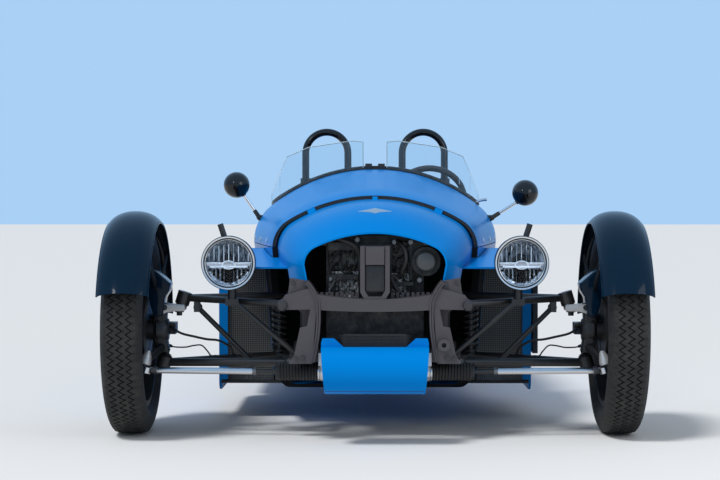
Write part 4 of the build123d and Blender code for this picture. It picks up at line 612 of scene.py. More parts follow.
def reflectorMaterial():
    # Plated bowl with upright flutes: painted reflection, stripes of light and dark in its colour
    material = newMaterial("lampReflector", {"color": (0.62, 0.68, 0.75), "rough": 0.22, "metal": 0.55})
    tree = material.node_tree
    link = tree.links.new
    shader = tree.nodes["Principled BSDF"]
    coords = addNode(tree, "ShaderNodeTexCoord")
    stretch = addNode(tree, "ShaderNodeMapping", {"Scale": (1.0, 1.0, 0.16)})
    reflectionStreaks = addNode(tree, "ShaderNodeTexNoise", {"Scale": 130.0, "Detail": 3.0})
    ramp = addNode(tree, "ShaderNodeValToRGB")
    stops = ((0.38, (0.13, 0.17, 0.21, 1)), (0.58, (0.86, 0.91, 0.96, 1)))
    for element, (position, color) in zip(ramp.color_ramp.elements, stops):
        element.position = position
        element.color = color
    bump = addNode(tree, "ShaderNodeBump", {"Strength": 0.5, "Distance": 0.003})
    link(coords.outputs["Object"], stretch.inputs["Vector"])
    link(stretch.outputs["Vector"], reflectionStreaks.inputs["Vector"])
    link(reflectionStreaks.outputs["Fac"], ramp.inputs["Fac"])
    link(reflectionStreaks.outputs["Fac"], bump.inputs["Height"])
    link(ramp.outputs["Color"], shader.inputs["Base Color"])
    link(bump.outputs["Normal"], shader.inputs["Normal"])
    return material


def makeLampRings(face, side, black):
    outer, inner, deep = lampSizes["ringOuter"], lampSizes["ringInner"], lampSizes["bowlDepth"]
    lip = outer - 1.8
    plated = [(inner, -8), (inner, 2), (inner + 1.2, 4.5), (outer - 2.4, 5), (lip, 1), (lip, -8), (inner, -8)]
    bead = [(black - 0.6, -4), (black - 0.4, 1), (black + 0.8, 1.6), (black + 1.4, -4), (black - 0.6, -4)]
    shell = [(lip, -8), (lip, 2.5), (outer + 0.4, 1.5), (outer + 0.8, -3), (outer + 0.8, -15), (lip, -8)]
    seat = [(black, -5), (black + 1.5, -1.5), (inner, -1.5), (inner, -12), (black, -5)]
    bottom = [(0, -deep - 2), (30, -deep - 2), (30, -deep + 6), (0, -deep + 6)]
    bm = bmesh.new()
    addTurned(bm, plated, face, 72)
    addTurned(bm, bead, face, 72)
    fit(f"lampRing_{side}", bm, "lampChrome", angle=50)
    bm = bmesh.new()
    for profile, sides in ((shell, 72), (seat, 64), (bottom, 32)):
        addTurned(bm, profile, face, sides)
    fit(f"lampInner_{side}", bm, "glossBlack", angle=40)


def makeLampBowl(face, side, black, x0, y0, z0):
    deep = lampSizes["bowlDepth"]
    bm = bmesh.new()
    bowl = [(black, -4), (black - 2, -12), (black * 0.84, -deep * 0.6), (black * 0.55, -deep * 0.9),
            (28, -deep)]
    addTurned(bm, bowl, face, 72)
    for i in range(lampSizes["flutes"]):
        x = (i - lampSizes["flutes"] // 2) * lampSizes["flutePitch"]
        reach = math.sqrt(max(black**2 - x * x, 0)) - 6
        low = [x0 + x - 1.2, y0 + 18, z0 + 4]
        addBox(bm, low, [low[0] + 2.4, y0 + 42, z0 + reach * 0.86])
    fit(f"lampBowl_{side}", bm, "reflector", angle=30)


def makeLightBar(side, black, x0, y0, z0):
    # Two bright bars over a band, with an oval ring in their middle
    wide, drop = lampSizes["barWidth"] / 2, lampSizes["barDrop"]
    oval = place((x0, y0 + 12, z0 - 7), (0, -1, 0)) @ Matrix.Diagonal((1.6, 1, 1, 1))
    bm = bmesh.new()
    addBox(bm, [x0 - wide, y0 + 6, z0 - drop - 3], [x0 + wide, y0 + 16, z0 - drop + 3])
    addBox(bm, [x0 - black + 3, y0 + 8, z0 - 2], [x0 + black - 3, y0 + 16, z0 + 2])
    addTurned(bm, [(12, 6.5), (13.5, 7), (15, 6), (15.5, -4), (12, -4), (12, 6.5)], oval, 40)
    bevelAll(bm, 1.0, 2, 60)
    fit(f"lampBar_{side}", bm, "lightBar")
    bm = bmesh.new()
    addBox(bm, [x0 - black + 5, y0 + 12, z0 - drop + 3], [x0 + black - 5, y0 + 17, z0 - 2])
    addTurned(bm, [(0, 4), (12, 4), (12, -4), (0, -4)], oval, 40)
    fit(f"lampBand_{side}", bm, "brightSteel", angle=30)


def makeLampFins(side, black, x0, y0, z0):
    # Dark upright fins under the light bar, with a block in their middle
    drop = lampSizes["barDrop"]
    bm = bmesh.new()
    for t in (-1, 1):
        for i in range(lampSizes["fins"]):
            x = x0 + t * (22 + lampSizes["finPitch"] * i)
            reach = math.sqrt(max(black**2 - (x - x0) ** 2, 0)) - 8
            addBox(bm, [x - 4.5, y0 + 18, z0 - reach * (0.92 - 0.04 * i)], [x + 4.5, y0 + 30, z0 - drop - 8])
    addBox(bm, [x0 - 15, y0 + 16, z0 - black * 0.86], [x0 + 15, y0 + 34, z0 - drop - 10])
    bevelAll(bm, 1.6, 2, 60)
    fit(f"lampFins_{side}", bm, "lampDark")


def makeLampFacets(side, black, x0, y0, z0):
    # Small tilted plates round the lower half of the bowl, in two rows
    last = lampSizes["facets"] - 1
    bm = bmesh.new()
    for i in range(last + 1):
        a = math.radians(196 + 148 * i / last)
        way = Vector((math.cos(a), 0, math.sin(a)))
        lean, twist = 0.5 * math.sin(i * 2.3), 0.5 * math.cos(i * 1.7)
        tilt = Matrix.Rotation(lean - a, 4, "Y") @ Matrix.Rotation(twist, 4, "Z")
        for reach, grow in ((0.9, 1.0), (0.72, 0.8)):
            if reach < 0.8 and 5 < i < 12:
                continue
            middle = spot(x0, y0 + 20 + 14 * (1 - reach), z0) + way * black * reach / 1000
            wide, thick, tall = (mm(edge) for edge in lampSizes["facetSize"])
            facet = Matrix.Diagonal((wide * grow, thick, tall * grow, 1))
            bmesh.ops.create_cube(bm, size=1, matrix=Matrix.Translation(middle) @ tilt @ facet)
    fit(f"lampFacets_{side}", bm, "reflector", angle=20)


def makeLampGlass(face, side, black):
    bulge = lampSizes["glassBulge"]
    dome = [(black * t, bulge * (1 - t * t) - 1) for t in (0, 0.2, 0.4, 0.6, 0.8, 0.93, 1.0)]
    dome.append((lampSizes["ringInner"] + 3, -1))
    bm = bmesh.new()
    addTurned(bm, dome + [(r, h - 2.5) for r, h in reversed(dome)], face, 64)
    glass = fit(f"lampGlass_{side}", bm, "lampGlass")
    if side == "left":
        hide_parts("headlamp_lenses")


def makeHeadlamps():
    paint["reflector"] = reflectorMaterial()
    black = lampSizes["innerRing"]
    for s, side in flanks:
        centre = (s * lampSizes["x"], lampSizes["y"], lampSizes["z"])
        face = place(centre, (0, -1, 0))
        makeLampRings(face, side, black)
        makeLampBowl(face, side, black, *centre)
        makeLightBar(side, black, *centre)
        makeLampFins(side, black, *centre)
        makeLampFacets(side, black, *centre)
        makeLampGlass(face, side, black)


makeHeadlamps()
print("headlamps fitted")


# Engine face seen through the oval mouth

engineSizes = {"frontY": -176, "crustCell": 2.6, "crustBack": 17, "cap": (172, -212, 603),
               "capShape": [(0, 7), (26, 7), (31, 5), (34, 1), (35.5, -4), (35.5, -16), (34, -18), (0, -18)],
               "loopPad": ([-31, -294, 594], [31, -282, 655]), "coverBolt": (0, -276, 560),
               "loopCover": ([-32, -276, 506], [32, -264, 592])}
engineRibs = [  # count, first x, pitch, half width, how far out, low z and its rise, high z and its rise
    (9, 62, 11, 1.6, 9, 470, 0, 616, 0), (7, -150, 13, 2, 10, 486, 3, 640, 4),
]
engineBars = [  # low and high x, how far each stands out, low and high z
    (-158, -62, 16, 540, 560), (-160, -56, 20, 640, 668), (56, 130, 12, 520, 534),
]
engineBolts = [(-150, 676), (-60, 676), (-150, 545), (-66, 470), (66, 470), (140, 486), (66, 668), (120, 668),
               (-128, 486), (150, 540)]
engineHoses = [
    (8, [(-168, -120, 700), (-150, -190, 690), (-110, -212, 676), (-70, -208, 655), (-52, -196, 622)]),
    (7, [(72, -186, 672), (96, -210, 650), (104, -212, 610), (90, -200, 566), (84, -180, 548)]),
    (6, [(150, -150, 470), (122, -206, 484), (84, -214, 500), (62, -206, 528), (56, -180, 556)]),
]
engineCrusts = [  # low and high x, low and high z, seed, finish
    (-158, -54, 474, 572, 3, "castCrust"), (-158, -58, 572, 664, 5, "engineMetal"),
    (54, 118, 474, 566, 11, "castCrust"), (58, 118, 566, 672, 13, "engineMetal"),
]


def makeEngineRibs(front):
    bm = bmesh.new()
    for count, first, pitch, half, proud, low, lowRise, high, highRise in engineRibs:
        for i in range(count):
            x = first + i * pitch
            z0, z1 = low + lowRise * i, high + highRise * i
            addBox(bm, [x - half, front - proud, z0], [x + half, front + 2, z1])
    for x0, x1, proud, z0, z1 in engineBars:
        addBox(bm, [x0, front - proud, z0], [x1, front + 2, z1])
    bevelAll(bm, 1.2, 1, 60)
    fit("engineRibs", bm, "engineMetal", angle=30)


def crustDepth(x, z, seed):
    # Lumps, pits and webs of a rough casting, in millimetres
    lump = noise.noise(Vector((x * 0.035, z * 0.035, seed))) * 9
    pit = noise.noise(Vector((x * 0.11, z * 0.11, seed + 7))) * 5
    web = max(0, 1 - abs(noise.noise(Vector((x * 0.03, z * 0.022, seed + 20)))) * 9) * 7
    return max(lump + pit + web, -6)


def makeEngineCrust(front, x0, x1, z0, z1, seed, finish):
    # A rough cast cover beside the loop, closed back to the block
    cell, back = engineSizes["crustCell"], front + engineSizes["crustBack"]
    columns, rows = int((x1 - x0) / cell), int((z1 - z0) / cell)
    bm = bmesh.new()
    grid = []
    for j, z in enumerate(ends(z0, z1, rows)):
        line = []
        for i, x in enumerate(ends(x0, x1, columns)):
            edge = i in (0, columns) or j in (0, rows)
            line.append(bm.verts.new(spot(x, back if edge else front - 8 - crustDepth(x, z, seed), z)))
        grid.append(line)
    for one, two in zip(grid, grid[1:]):
        addStrip(bm, one, two, closed=False)
    fit(f"engineCrust_{seed}", bm, finish, angle=60)


def makeLoopTrim():
    # The pad and the cover on the front of the engine loop
    bm = bmesh.new()
    addBox(bm, *engineSizes["loopPad"])
    bevelAll(bm, 2.5, 3, 60)
    fit("loopPad", bm, "castGrey")
    bm = bmesh.new()
    addBox(bm, *engineSizes["loopCover"])
    bevelAll(bm, 3, 3, 60)
    addBolt(bm, place(engineSizes["coverBolt"], (0, -1, 0)), 0.005, 0.005)
    fit("loopCover", bm, "satinBlack")


def makeEngineFace():
    front = engineSizes["frontY"]
    makeEngineRibs(front)
    for crust in engineCrusts:
        makeEngineCrust(front, *crust)
    bm = bmesh.new()
    for x, z in engineBolts:
        addTube(bm, [spot(x, front + 17, z), spot(x, front - 12, z)], 0.008, 12)
        addBolt(bm, place((x, front - 12, z), (0, -1, 0)), 0.0055, 0.006)
    fit("engineBolts", bm, "dullBolt", angle=30)
    bm = bmesh.new()
    for radius, route in engineHoses:
        addTube(bm, [spot(*p) for p in smoothPath(route)], mm(radius), 14)
    fit("engineHoses", bm, "bootRubber")
    bm = bmesh.new()
    addTurned(bm, engineSizes["capShape"], place(engineSizes["cap"], (0, -1, 0)), 56)
    fit("fillerCap", bm, "capGrey", angle=50)
    makeLoopTrim()


makeEngineFace()
print("engine face made")


# Front casting: domed bolts in its ears and small ones in its legs

castingBolts = {
    "ear": (308, -300, 460, 0.0115),
    "leg": [(240, -294, 286, 0.007), (262, -294, 284, 0.006), (236, -270, 530, 0.006),
            (272, -270, 534, 0.006)],
}


def makeCastingBolts():
    bm = bmesh.new()
    x, y, z, r = castingBolts["ear"]
    dome = [(0, 0.009), (r * 1.2, 0.009), (r * 1.42, 0.006), (r * 1.5, 0), (r * 1.5, -0.004)]
    for s in (-1, 1):
        addRevolve(bm, dome, place((s * x, y, z), (0, -1, 0)), 36)
        addBolt(bm, place((s * x, y - 8, z), (0, -1, 0)), r * 0.62, 0.005)
        for legX, legY, legZ, legR in castingBolts["leg"]:
            addBolt(bm, place((s * legX, legY, legZ), (0, -1, 0)), legR, 0.006)
    fit("castingBolts", bm, "castBolt", angle=30)


makeCastingBolts()


# Suspension fittings: gaiters on the ball joints, pivot bolts, lock nuts and clips

suspensionTrim = {
    "joints": [((666, 470), -1), ((735, 245), 1)], "kingpin": (-69, 225),
    "gaiter": [(24, 0), (25, 2), (19, 4), (21, 7), (15, 9), (16, 11), (11, 13), (9, 13)],
    "pivots": [(292, -95, 255), (292, 230, 255), (300, 170, 472)],
    "links": [(618, 26, 436, 20), (425, 41, 243, 37)],
    "rod": ((274, -165, 228), (783, -130, 230)), "sleeve": [(0.735, 0.0086), (0.8, 0.0084), (0.88, 0.0078)],
    "cuffClip": [(30.5, -7), (32.5, -6), (32.5, 6), (30.5, 7)],
    "bootClip": [(29.2, -3), (30.6, -3), (30.6, 3), (29.2, 3)],
    "clips": [(177, "cuffClip"), (190.5, "bootClip")], "clipAxis": (-165, 228),
}


def makeRodTrim(s, side):
    inner, outer = (Vector((s * x, y, z)) for x, y, z in suspensionTrim["rod"])
    along = (outer - inner).normalized()
    bm = bmesh.new()
    step = outer.lerp(inner, 0.72)
    addHexagon(bm, place(step - along * 4, -along) @ Matrix.Translation((0, 0, 0.004)), 0.0135, 0.012)
    addHexagon(bm, place(outer - along * 34, along), 0.0145, 0.012)
    fit(f"rodNuts_{side}", bm, "dullBolt", f"track_rod_{side}", angle=30)
    bm = bmesh.new()
    sleeve = suspensionTrim["sleeve"]
    addTube(bm, [spot(*outer.lerp(inner, t)) for t, _ in sleeve], [r for _, r in sleeve], 18)
    fit(f"rodSleeve_{side}", bm, "satinBlack", f"track_rod_{side}")


def makeSuspensionTrim():
    trim = suspensionTrim
    for s, side in flanks:
        bm = bmesh.new()
        lean, rise = trim["kingpin"]
        for (x, z), up in trim["joints"]:
            axis = Vector((lean * s, 0, rise)).normalized() * up
            base = Vector((s * x, 0, z)) + axis * 21
            addTurned(bm, trim["gaiter"], place(base, axis), 32)
        fit(f"jointGaiters_{side}", bm, "bootRubber")
        bm = bmesh.new()
        for x, y, z in trim["pivots"]:
            for t in (-1, 1):
                addBolt(bm, place((s * x, y + t * 25, z), (0, t, 0)), 0.0085, 0.008)
        for x, y, z, ahead in trim["links"]:
            addBolt(bm, place((s * x, y, z), (0, 1, 0)), 0.008, 0.008)
            addBolt(bm, place((s * x, y - ahead, z), (0, -1, 0)), 0.008, 0.006)
        fit(f"pivotBolts_{side}", bm, "dullBolt", angle=30)
        makeRodTrim(s, side)
        bm = bmesh.new()
        for x, clip in trim["clips"]:
            addTurned(bm, trim[clip], place((s * x, *trim["clipAxis"]), (s, 0, 0)))
        fit(f"bootClips_{side}", bm, "brightSteel")


makeSuspensionTrim()


# Wheel carriers: a dark upright body, its bright arms, and the painted bracket that holds the fender

carrierShapes = {
    "body": {
        "outline": [(718, 452), (748, 452), (760, 424), (768, 392), (768, 332), (760, 300), (752, 281),
                    (716, 281), (718, 300), (724, 335), (727, 365), (724, 410)],
        "y": (-30, 32),
    },
    "upperArm": {
        "outline": [(656, 431), (664, 425), (700, 424), (722, 420), (736, 414), (746, 430), (746, 450),
                    (700, 450), (660, 448)],
        "y": (-34, 14),
    },
    "bracket": {
        "outline": [(707, 522), (712, 494), (727, 472), (733, 412), (764, 406), (778, 450), (786, 500),
                    (786, 540), (777, 575), (752, 562)],
        "y": (-54, 44),
    },
    "arm": [(740, -22, 300, 15), (752, -52, 288, 14.5), (768, -94, 275, 14), (778, -118, 267, 14.5),
            (783, -130, 263, 15)],
    "hub": [(0, -4), (36, -4), (44, 6), (46, 12), (46, 36), (40, 40), (19, 41), (18, 46), (18, 129),
            (16, 131), (0, 131)],
    "armBoss": [(0, 36), (7, 36), (10, 30), (15, 18), (19, 4), (21, -4), (20.5, -11), (17, -13), (0, -13)],
    "rodAxis": (-0.293, 0.09, 0.956), "armEnd": (783, -130, 262), "kingpin": ((666, 0, 470), (735, 0, 245)),
    "bosses": {"x": 742, "y": (-28, -36), "z": (325, 400), "radius": 0.011},
    "bolts": [((680, -10, 424), (0, 0, -1), 0.011, 0.012), ((730, -36, 438), (0, -1, 0), 0.007, 0.007)],
}


def addPrism(bm, low, high):
    # A solid between two outlines of the same count
    front = [bm.verts.new(point) for point in low]
    back = [bm.verts.new(point) for point in high]
    count = len(front)
    bm.faces.new(front)
    bm.faces.new(back[::-1])
    for i in range(count):
        bm.faces.new((front[i], back[i], back[(i + 1) % count], front[(i + 1) % count]))


def addSlab(bm, shape, s):
    # A flat outline in X and Z, carried through from one station to the other
    low, high = shape["y"]
    addPrism(bm, *([spot(s * x, y, z) for x, z in shape["outline"]] for y in (low, high)))
    bmesh.ops.recalc_face_normals(bm, faces=bm.faces)


def makeCarrierBody(s, side):
    shapes = carrierShapes
    top, foot = (Vector((s * x, y, z)) for x, y, z in shapes["kingpin"])
    bm = bmesh.new()
    addSlab(bm, shapes["body"], s)
    bevelAll(bm, 6, 3, 25)
    addTurned(bm, shapes["hub"], place((s * 722, 0, hubHeight), (s, 0, 0)), 48)
    for start, end in ((0.0, 0.22), (0.78, 1.0)):
        addTube(bm, [spot(*top.lerp(foot, start)), spot(*top.lerp(foot, end))], 0.008, 20)
    bosses = shapes["bosses"]
    for z in bosses["z"]:
        addTube(bm, [spot(s * bosses["x"], y, z) for y in bosses["y"]], bosses["radius"], 20)
    addTube(bm, [spot(s * x, y, z) for x, y, z, _ in shapes["arm"]], [mm(r) for *_, r in shapes["arm"]], 24)
    carrier = fit(f"carrierBody_{side}", bm, "darkIron", f"knuckle_{side}", angle=40)
    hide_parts(f"upright_{side}")


def makeCarriers():
    shapes = carrierShapes
    for s, side in flanks:
        knuckle = f"knuckle_{side}"
        makeCarrierBody(s, side)
        bm = bmesh.new()
        addSlab(bm, shapes["upperArm"], s)
        bevelAll(bm, 4, 3, 50)
        axis = Vector((s * shapes["rodAxis"][0], *shapes["rodAxis"][1:]))
        end = (s * shapes["armEnd"][0], *shapes["armEnd"][1:])
        addTurned(bm, shapes["armBoss"], place(end, axis), 40)
        fit(f"carrierArms_{side}", bm, "castAlloy", knuckle, angle=40)
        bm = bmesh.new()
        addTube(bm, [spot(*(Vector(end) + axis * d)) for d in (-48, -10)], 0.008, 20)
        for (x, y, z), way, radius, height in shapes["bolts"]:
            addBolt(bm, place((s * x, y, z), way), radius, height)
        fit(f"carrierBolts_{side}", bm, "darkIron", knuckle, angle=30)
        bm = bmesh.new()
        addSlab(bm, shapes["bracket"], s)
        bevelAll(bm, 7, 4, 20)
        fit(f"fenderBracket_{side}", bm, "navyPaint", knuckle, angle=50)


makeCarriers()


# Fenders: a rounded band with beaded edges over each front wheel, on two flat stays

fenderSizes = {"inner": 746, "outer": 919, "crown": 412, "edge": 372, "skin": 3.5, "rear": 5, "front": 20.5,
               "bead": 3.2, "stays": ((42, -22), (138, 22)), "stayX": (753, 758), "across": 24, "along": 72}


def makeFender(s, side):
    size = fenderSizes
    middle, half = (size["inner"] + size["outer"]) / 2, (size["outer"] - size["inner"]) / 2
    arc = 180 - size["front"] - size["rear"]
    edge, steps = size["edge"], size["across"]

    def height(t):
        return edge + (size["crown"] - edge) * (1 - abs(t) ** 2.3) ** 0.75

    across = [math.sin(math.pi / 2 * (i / (steps / 2) - 1)) for i in range(steps + 1)]
    section = [(t * half, height(t)) for t in across]
    section += [(t * (half - 1.5), height(t) - size["skin"]) for t in across[::-1]]
    bm = bmesh.new()
    rows = []
    for k in range(size["along"] + 1):
        a = math.radians(size["rear"] + arc * k / size["along"])
        rows.append([bm.verts.new(spot(s * (middle + u), r * math.cos(a), hubHeight + r * math.sin(a)))
                     for u, r in section])
    for one, two in zip(rows, rows[1:]):
        addStrip(bm, one, two)
    count = len(section)
    for row in (rows[0], rows[-1]):
        for i in range(steps):
            bm.faces.new((row[i], row[i + 1], row[count - 2 - i], row[count - 1 - i]))
    angles = [math.radians(size["rear"] + arc * k / 48) for k in range(49)]
    for u in (-half + 1.5, half - 1.5):  # rolled edge
        bead = [spot(s * (middle + u), edge * math.cos(a), hubHeight + edge * math.sin(a)) for a in angles]
        addTube(bm, bead, mm(size["bead"]), 12)
    return fit(f"fenderSkin_{side}", bm, "navyPaint", f"knuckle_{side}", angle=50)


def makeFenderStays(s, side):
    size = fenderSizes
    reach = size["edge"] + 6
    bm = bmesh.new()
    for angle, shift in size["stays"]:
        a = math.radians(angle)
        root = Vector((0, shift, 500))
        tip = Vector((0, -reach * math.cos(a), hubHeight + reach * math.sin(a)))
        along = (tip - root).normalized()
        across = Vector((0, -along.z, along.y))
        corners = [root + across * 16, root - across * 16, tip - across * 11, tip + across * 11]
        addPrism(bm, *([spot(x, c.y, c.z) for c in corners] for x in sorted(s * x for x in size["stayX"])))
    bevelAll(bm, 1.2, 2, 60)
    fit(f"fenderStays_{side}", bm, "stayAndShadeBlack", f"knuckle_{side}")


for s, side in flanks:
    skin = makeFender(s, side)
    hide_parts(f"fender_{side}")
    makeFenderStays(s, side)
print("casting and suspension trimmed")


# Steering rack gaiters: fine rubber folds between plain cuffs

bellows = {"inner": 186, "outer": 337, "cuff": 9, "folds": 13, "peak": 31, "valley": 26.8, "bore": 25.4,
           "y": -165, "z": 228, "perFold": 6}


def makeBellows():
    size = bellows
    bore, cuff, valley, fine = size["bore"], size["cuff"], size["valley"], size["perFold"]
    long = size["outer"] - size["inner"]
    pitch = (long - 2 * cuff) / size["folds"]
    profile = [(bore, 0), (28.5, 0), (28.5, cuff - 1)]
    for i in range(size["folds"] * fine + 1):
        swell = 0.5 - 0.5 * math.cos(2 * math.pi * i / fine)
        profile.append((valley + (size["peak"] - valley) * swell, cuff + pitch * i / fine))
    profile += [(27.4, long - cuff + 1), (27.4, long), (bore, long)]
    for s, side in flanks:
        bm = bmesh.new()
        addTurned(bm, profile, place((s * size["inner"], size["y"], size["z"]), (s, 0, 0)), 48)
        piece = fit(f"rackGaiter_{side}", bm, "bootRubber", angle=60)
        if side == "left":
            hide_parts("rack_boots")


makeBellows()


# Painted shade: black sheets inside the nose, on the bulkhead and on the hull's flanks under the side shelves

shadeSheets = {"rear": 0.428, "top": 0.588, "offset": 0.0009, "bulkhead": 0.62, "bulkheadTop": 0.66}


def cutHull(part, rear):
    # Cut the hull along the borders of the painted-shade patch on its flanks
    for middle, normal in (((0, rear, 0), (0, 1, 0)), ((0, 0, shadeSheets["top"]), (0, 0, 1))):
        everything = part.verts[:] + part.edges[:] + part.faces[:]
        bmesh.ops.bisect_plane(part, geom=everything, plane_co=middle, plane_no=normal)


def hullFaceInShade(face, rear):
    centre = face.calc_center_median()
    if centre.y < rear and centre.z < shadeSheets["top"] and face.normal.x * centre.x > 0.1:
        return True
    ahead = centre.y < axleOffset + shadeSheets["bulkhead"]
    return face.normal.y < -0.3 and centre.z < shadeSheets["bulkheadTop"] and ahead


def noseFaceInShade(face, _):
    centre = face.calc_center_median()
    outward = Vector((centre.x, 0, centre.z - 0.6)).normalized()
    return face.normal.dot(outward) < -0.25


# Painted shade: black copies of the skin's shaded faces, laid just off the skin
def makeShadeSheets():
    rear = axleOffset + shadeSheets["rear"]
    bm = bmesh.new()
    for name, inShade in (("nose_cowl", noseFaceInShade), ("hull", hullFaceInShade)):
        part = bmesh.new()
        part.from_mesh(nodes[name].data)
        bmesh.ops.remove_doubles(part, verts=part.verts, dist=1e-5)
        if name == "hull":
            cutHull(part, rear)
        part.normal_update()
        drop = [face for face in part.faces if not inShade(face, rear)]
        bmesh.ops.delete(part, geom=drop, context="FACES")
        part.normal_update()
        for vertex in part.verts:
            vertex.co += vertex.normal * shadeSheets["offset"]
        mesh = bpy.data.meshes.new("shadePart")
        part.to_mesh(mesh)
        part.free()
        bm.from_mesh(mesh)
        bpy.data.meshes.remove(mesh)
    piece = bpy.data.objects.new("bayShade", bpy.data.meshes.new("bayShade"))
    bm.to_mesh(piece.data)
    bm.free()
    bpy.context.scene.collection.objects.link(piece)
    dress(piece, paint["stayAndShadeBlack"], "chassis")


makeShadeSheets()


# Nose and bonnet trim

noseSizes = {"arch": (346, 640, 814), "tabs": ((-223, 26), (0, 18), (223, 26)), "tabSteps": 6,
             "lozengeWidth": 118, "lozengeHeight": 58, "lozengeY": -105}


def archHeight(half, spring, crown, x):
    # The two-radius arch of the body sections
    rise = crown - spring
    shoulder = 0.62 * rise
    flat = half - shoulder
    big = (flat**2 + rise**2 - shoulder**2) / (2 * (rise - shoulder))
    knee = flat + shoulder * math.cos(math.acos(flat / (big - shoulder)))
    if abs(x) < knee:
        return crown - big + math.sqrt(big**2 - x * x)
    return spring + math.sqrt(max(shoulder**2 - (abs(x) - half + shoulder) ** 2, 0))


def makeVentBridges():
    # Short bridges across the vent slot, bent with the panel's edge
    bm = bmesh.new()
    for x, wide in noseSizes["tabs"]:
        lift = 15 if abs(x) else 12
        rows = []
        for u in ends(x - wide / 2, x + wide / 2, noseSizes["tabSteps"]):
            low = archHeight(*noseSizes["arch"], u) - 3
            slope = archHeight(*noseSizes["arch"], u + 1) - low - 3
            foot = Vector((u, 0, low))
            tip = foot + Vector((-slope, 0, 1)).normalized() * lift
            corners = ((foot, 136), (tip, 146), (tip, 156), (foot, 156))
            rows.append([bm.verts.new(spot(p.x, y, p.z)) for p, y in corners])
        for one, two in zip(rows, rows[1:]):
            addStrip(bm, one, two)
        bm.faces.new(rows[0][::-1])
        bm.faces.new(rows[-1])
    fit("ventBridges", bm, "azurePaint", angle=40)


def makeLozenge():
    # A plain lozenge, bent over the crown of the nose
    tree = surfaceTree("nose_cowl")
    y = noseSizes["lozengeY"]
    z = dropOn(tree, 0, y)
    tangent = Vector((0, -10, dropOn(tree, 0, y - 10) - z)).normalized()
    normal = tangent.cross(Vector((-1, 0, 0))).normalized()
    if normal.z < 0:
        normal.negate()
    half, tall = noseSizes["lozengeWidth"] / 2, noseSizes["lozengeHeight"] / 2
    base, across = Vector((0, y, z)), Vector((1, 0, 0))
    outline = [(half, 0), (half * 0.3, tall * 0.55), (0, tall), (-half * 0.3, tall * 0.55), (-half, 0),
               (-half * 0.3, -tall * 0.55), (0, -tall), (half * 0.3, -tall * 0.55)]
    bm = bmesh.new()
    low = [bm.verts.new(spot(*(base + across * u + tangent * v - normal * (0.3 + u * u / 900))))
           for u, v in outline]
    high = [bm.verts.new(spot(*(base + across * u * 0.93 + tangent * v * 0.8 + normal * (2.2 - u * u / 900))))
            for u, v in outline]
    addStrip(bm, low, high)
    bm.faces.new(high)
    fit("noseLozenge", bm, "brightSteel", angle=20)


makeVentBridges()
makeLozenge()


ventSlotShade = {"arch": (366, 640, 827), "y": 149.2, "depth": 6.2, "thick": 3, "steps": 140}


def makeVentSlotShade():
    # Painted shade: a black strip on the front edge of the bonnet, which makes the dark slot read wider
    size = ventSlotShade
    near, far = size["y"], size["y"] + size["thick"]
    bm = bmesh.new()
    rows = []
    for i in range(size["steps"] + 1):
        a = math.pi * i / size["steps"]
        x = size["arch"][0] * math.cos(a) * 0.9995
        way = math.copysign(1, x or 1)
        top = archHeight(*size["arch"], x)
        slope = archHeight(*size["arch"], x - 0.5 * way) - top
        inward = Vector((-way * slope, 0, -0.5)).normalized()
        outer = Vector((x, 0, top)) + inward * 0.8
        inner = Vector((x, 0, top)) + inward * size["depth"]
        corners = ((outer, near), (inner, near), (inner, far), (outer, far))
        rows.append([bm.verts.new(spot(p.x, y, p.z)) for p, y in corners])
    for one, two in zip(rows, rows[1:]):
        addStrip(bm, one, two)
    fit("ventSlotShade", bm, "bootRubber", angle=50)


makeVentSlotShade()
print("nose trimmed")


# Screens: rubber foot along the scuttle, inboard clamps and a small lever by the left screen

screenPlan = {
    "y": 1062, "lean": 0.3, "baseZ": 780,
    "line": [(47, 0), (120, 2), (190, 4), (250, 6), (300, 17), (345, 34), (362, 45), (376, 62), (392, 92),
             (411, 151), (427, 201)],
    "bridge": (-48, -24, 0, 24, 48), "clampX": (12, 40), "lever": (414, 1112),
    "leverPath": ((0, 0, 0), (3, -1, 10), (12, -3, 15), (28, -5, 19), (42, -5, 20)),
    "leverRadii": [0.007, 0.0065, 0.0055, 0.006, 0.0065],
    "leverFoot": [(0, 9), (9, 8), (12, 4), (13, -2), (0, -2)],
}


def screenPoint(tree, x, setback, lift=0.0):
    # Where the leaning screen meets the skin, found in a few steps, as its station depends on the height
    z = 900
    for _ in range(6):
        y = screenPlan["y"] + setback + screenPlan["lean"] * (z - screenPlan["baseZ"])
        found = dropOn(tree, x, y)
        if found is None:
            return None
        z = found
    return Vector((x, y - 4, z + lift))


def finePath(line, step=10):
    # The same line of points in steps of about 10 mm, without the last point
    fine = []
    for (x1, y1), (x2, y2) in zip(line, line[1:]):
        steps = max(int(math.hypot(x2 - x1, y2 - y1) / step), 1)
        fine += [(x1 + (x2 - x1) * i / steps, y1 + (y2 - y1) * i / steps) for i in range(steps)]
    return fine


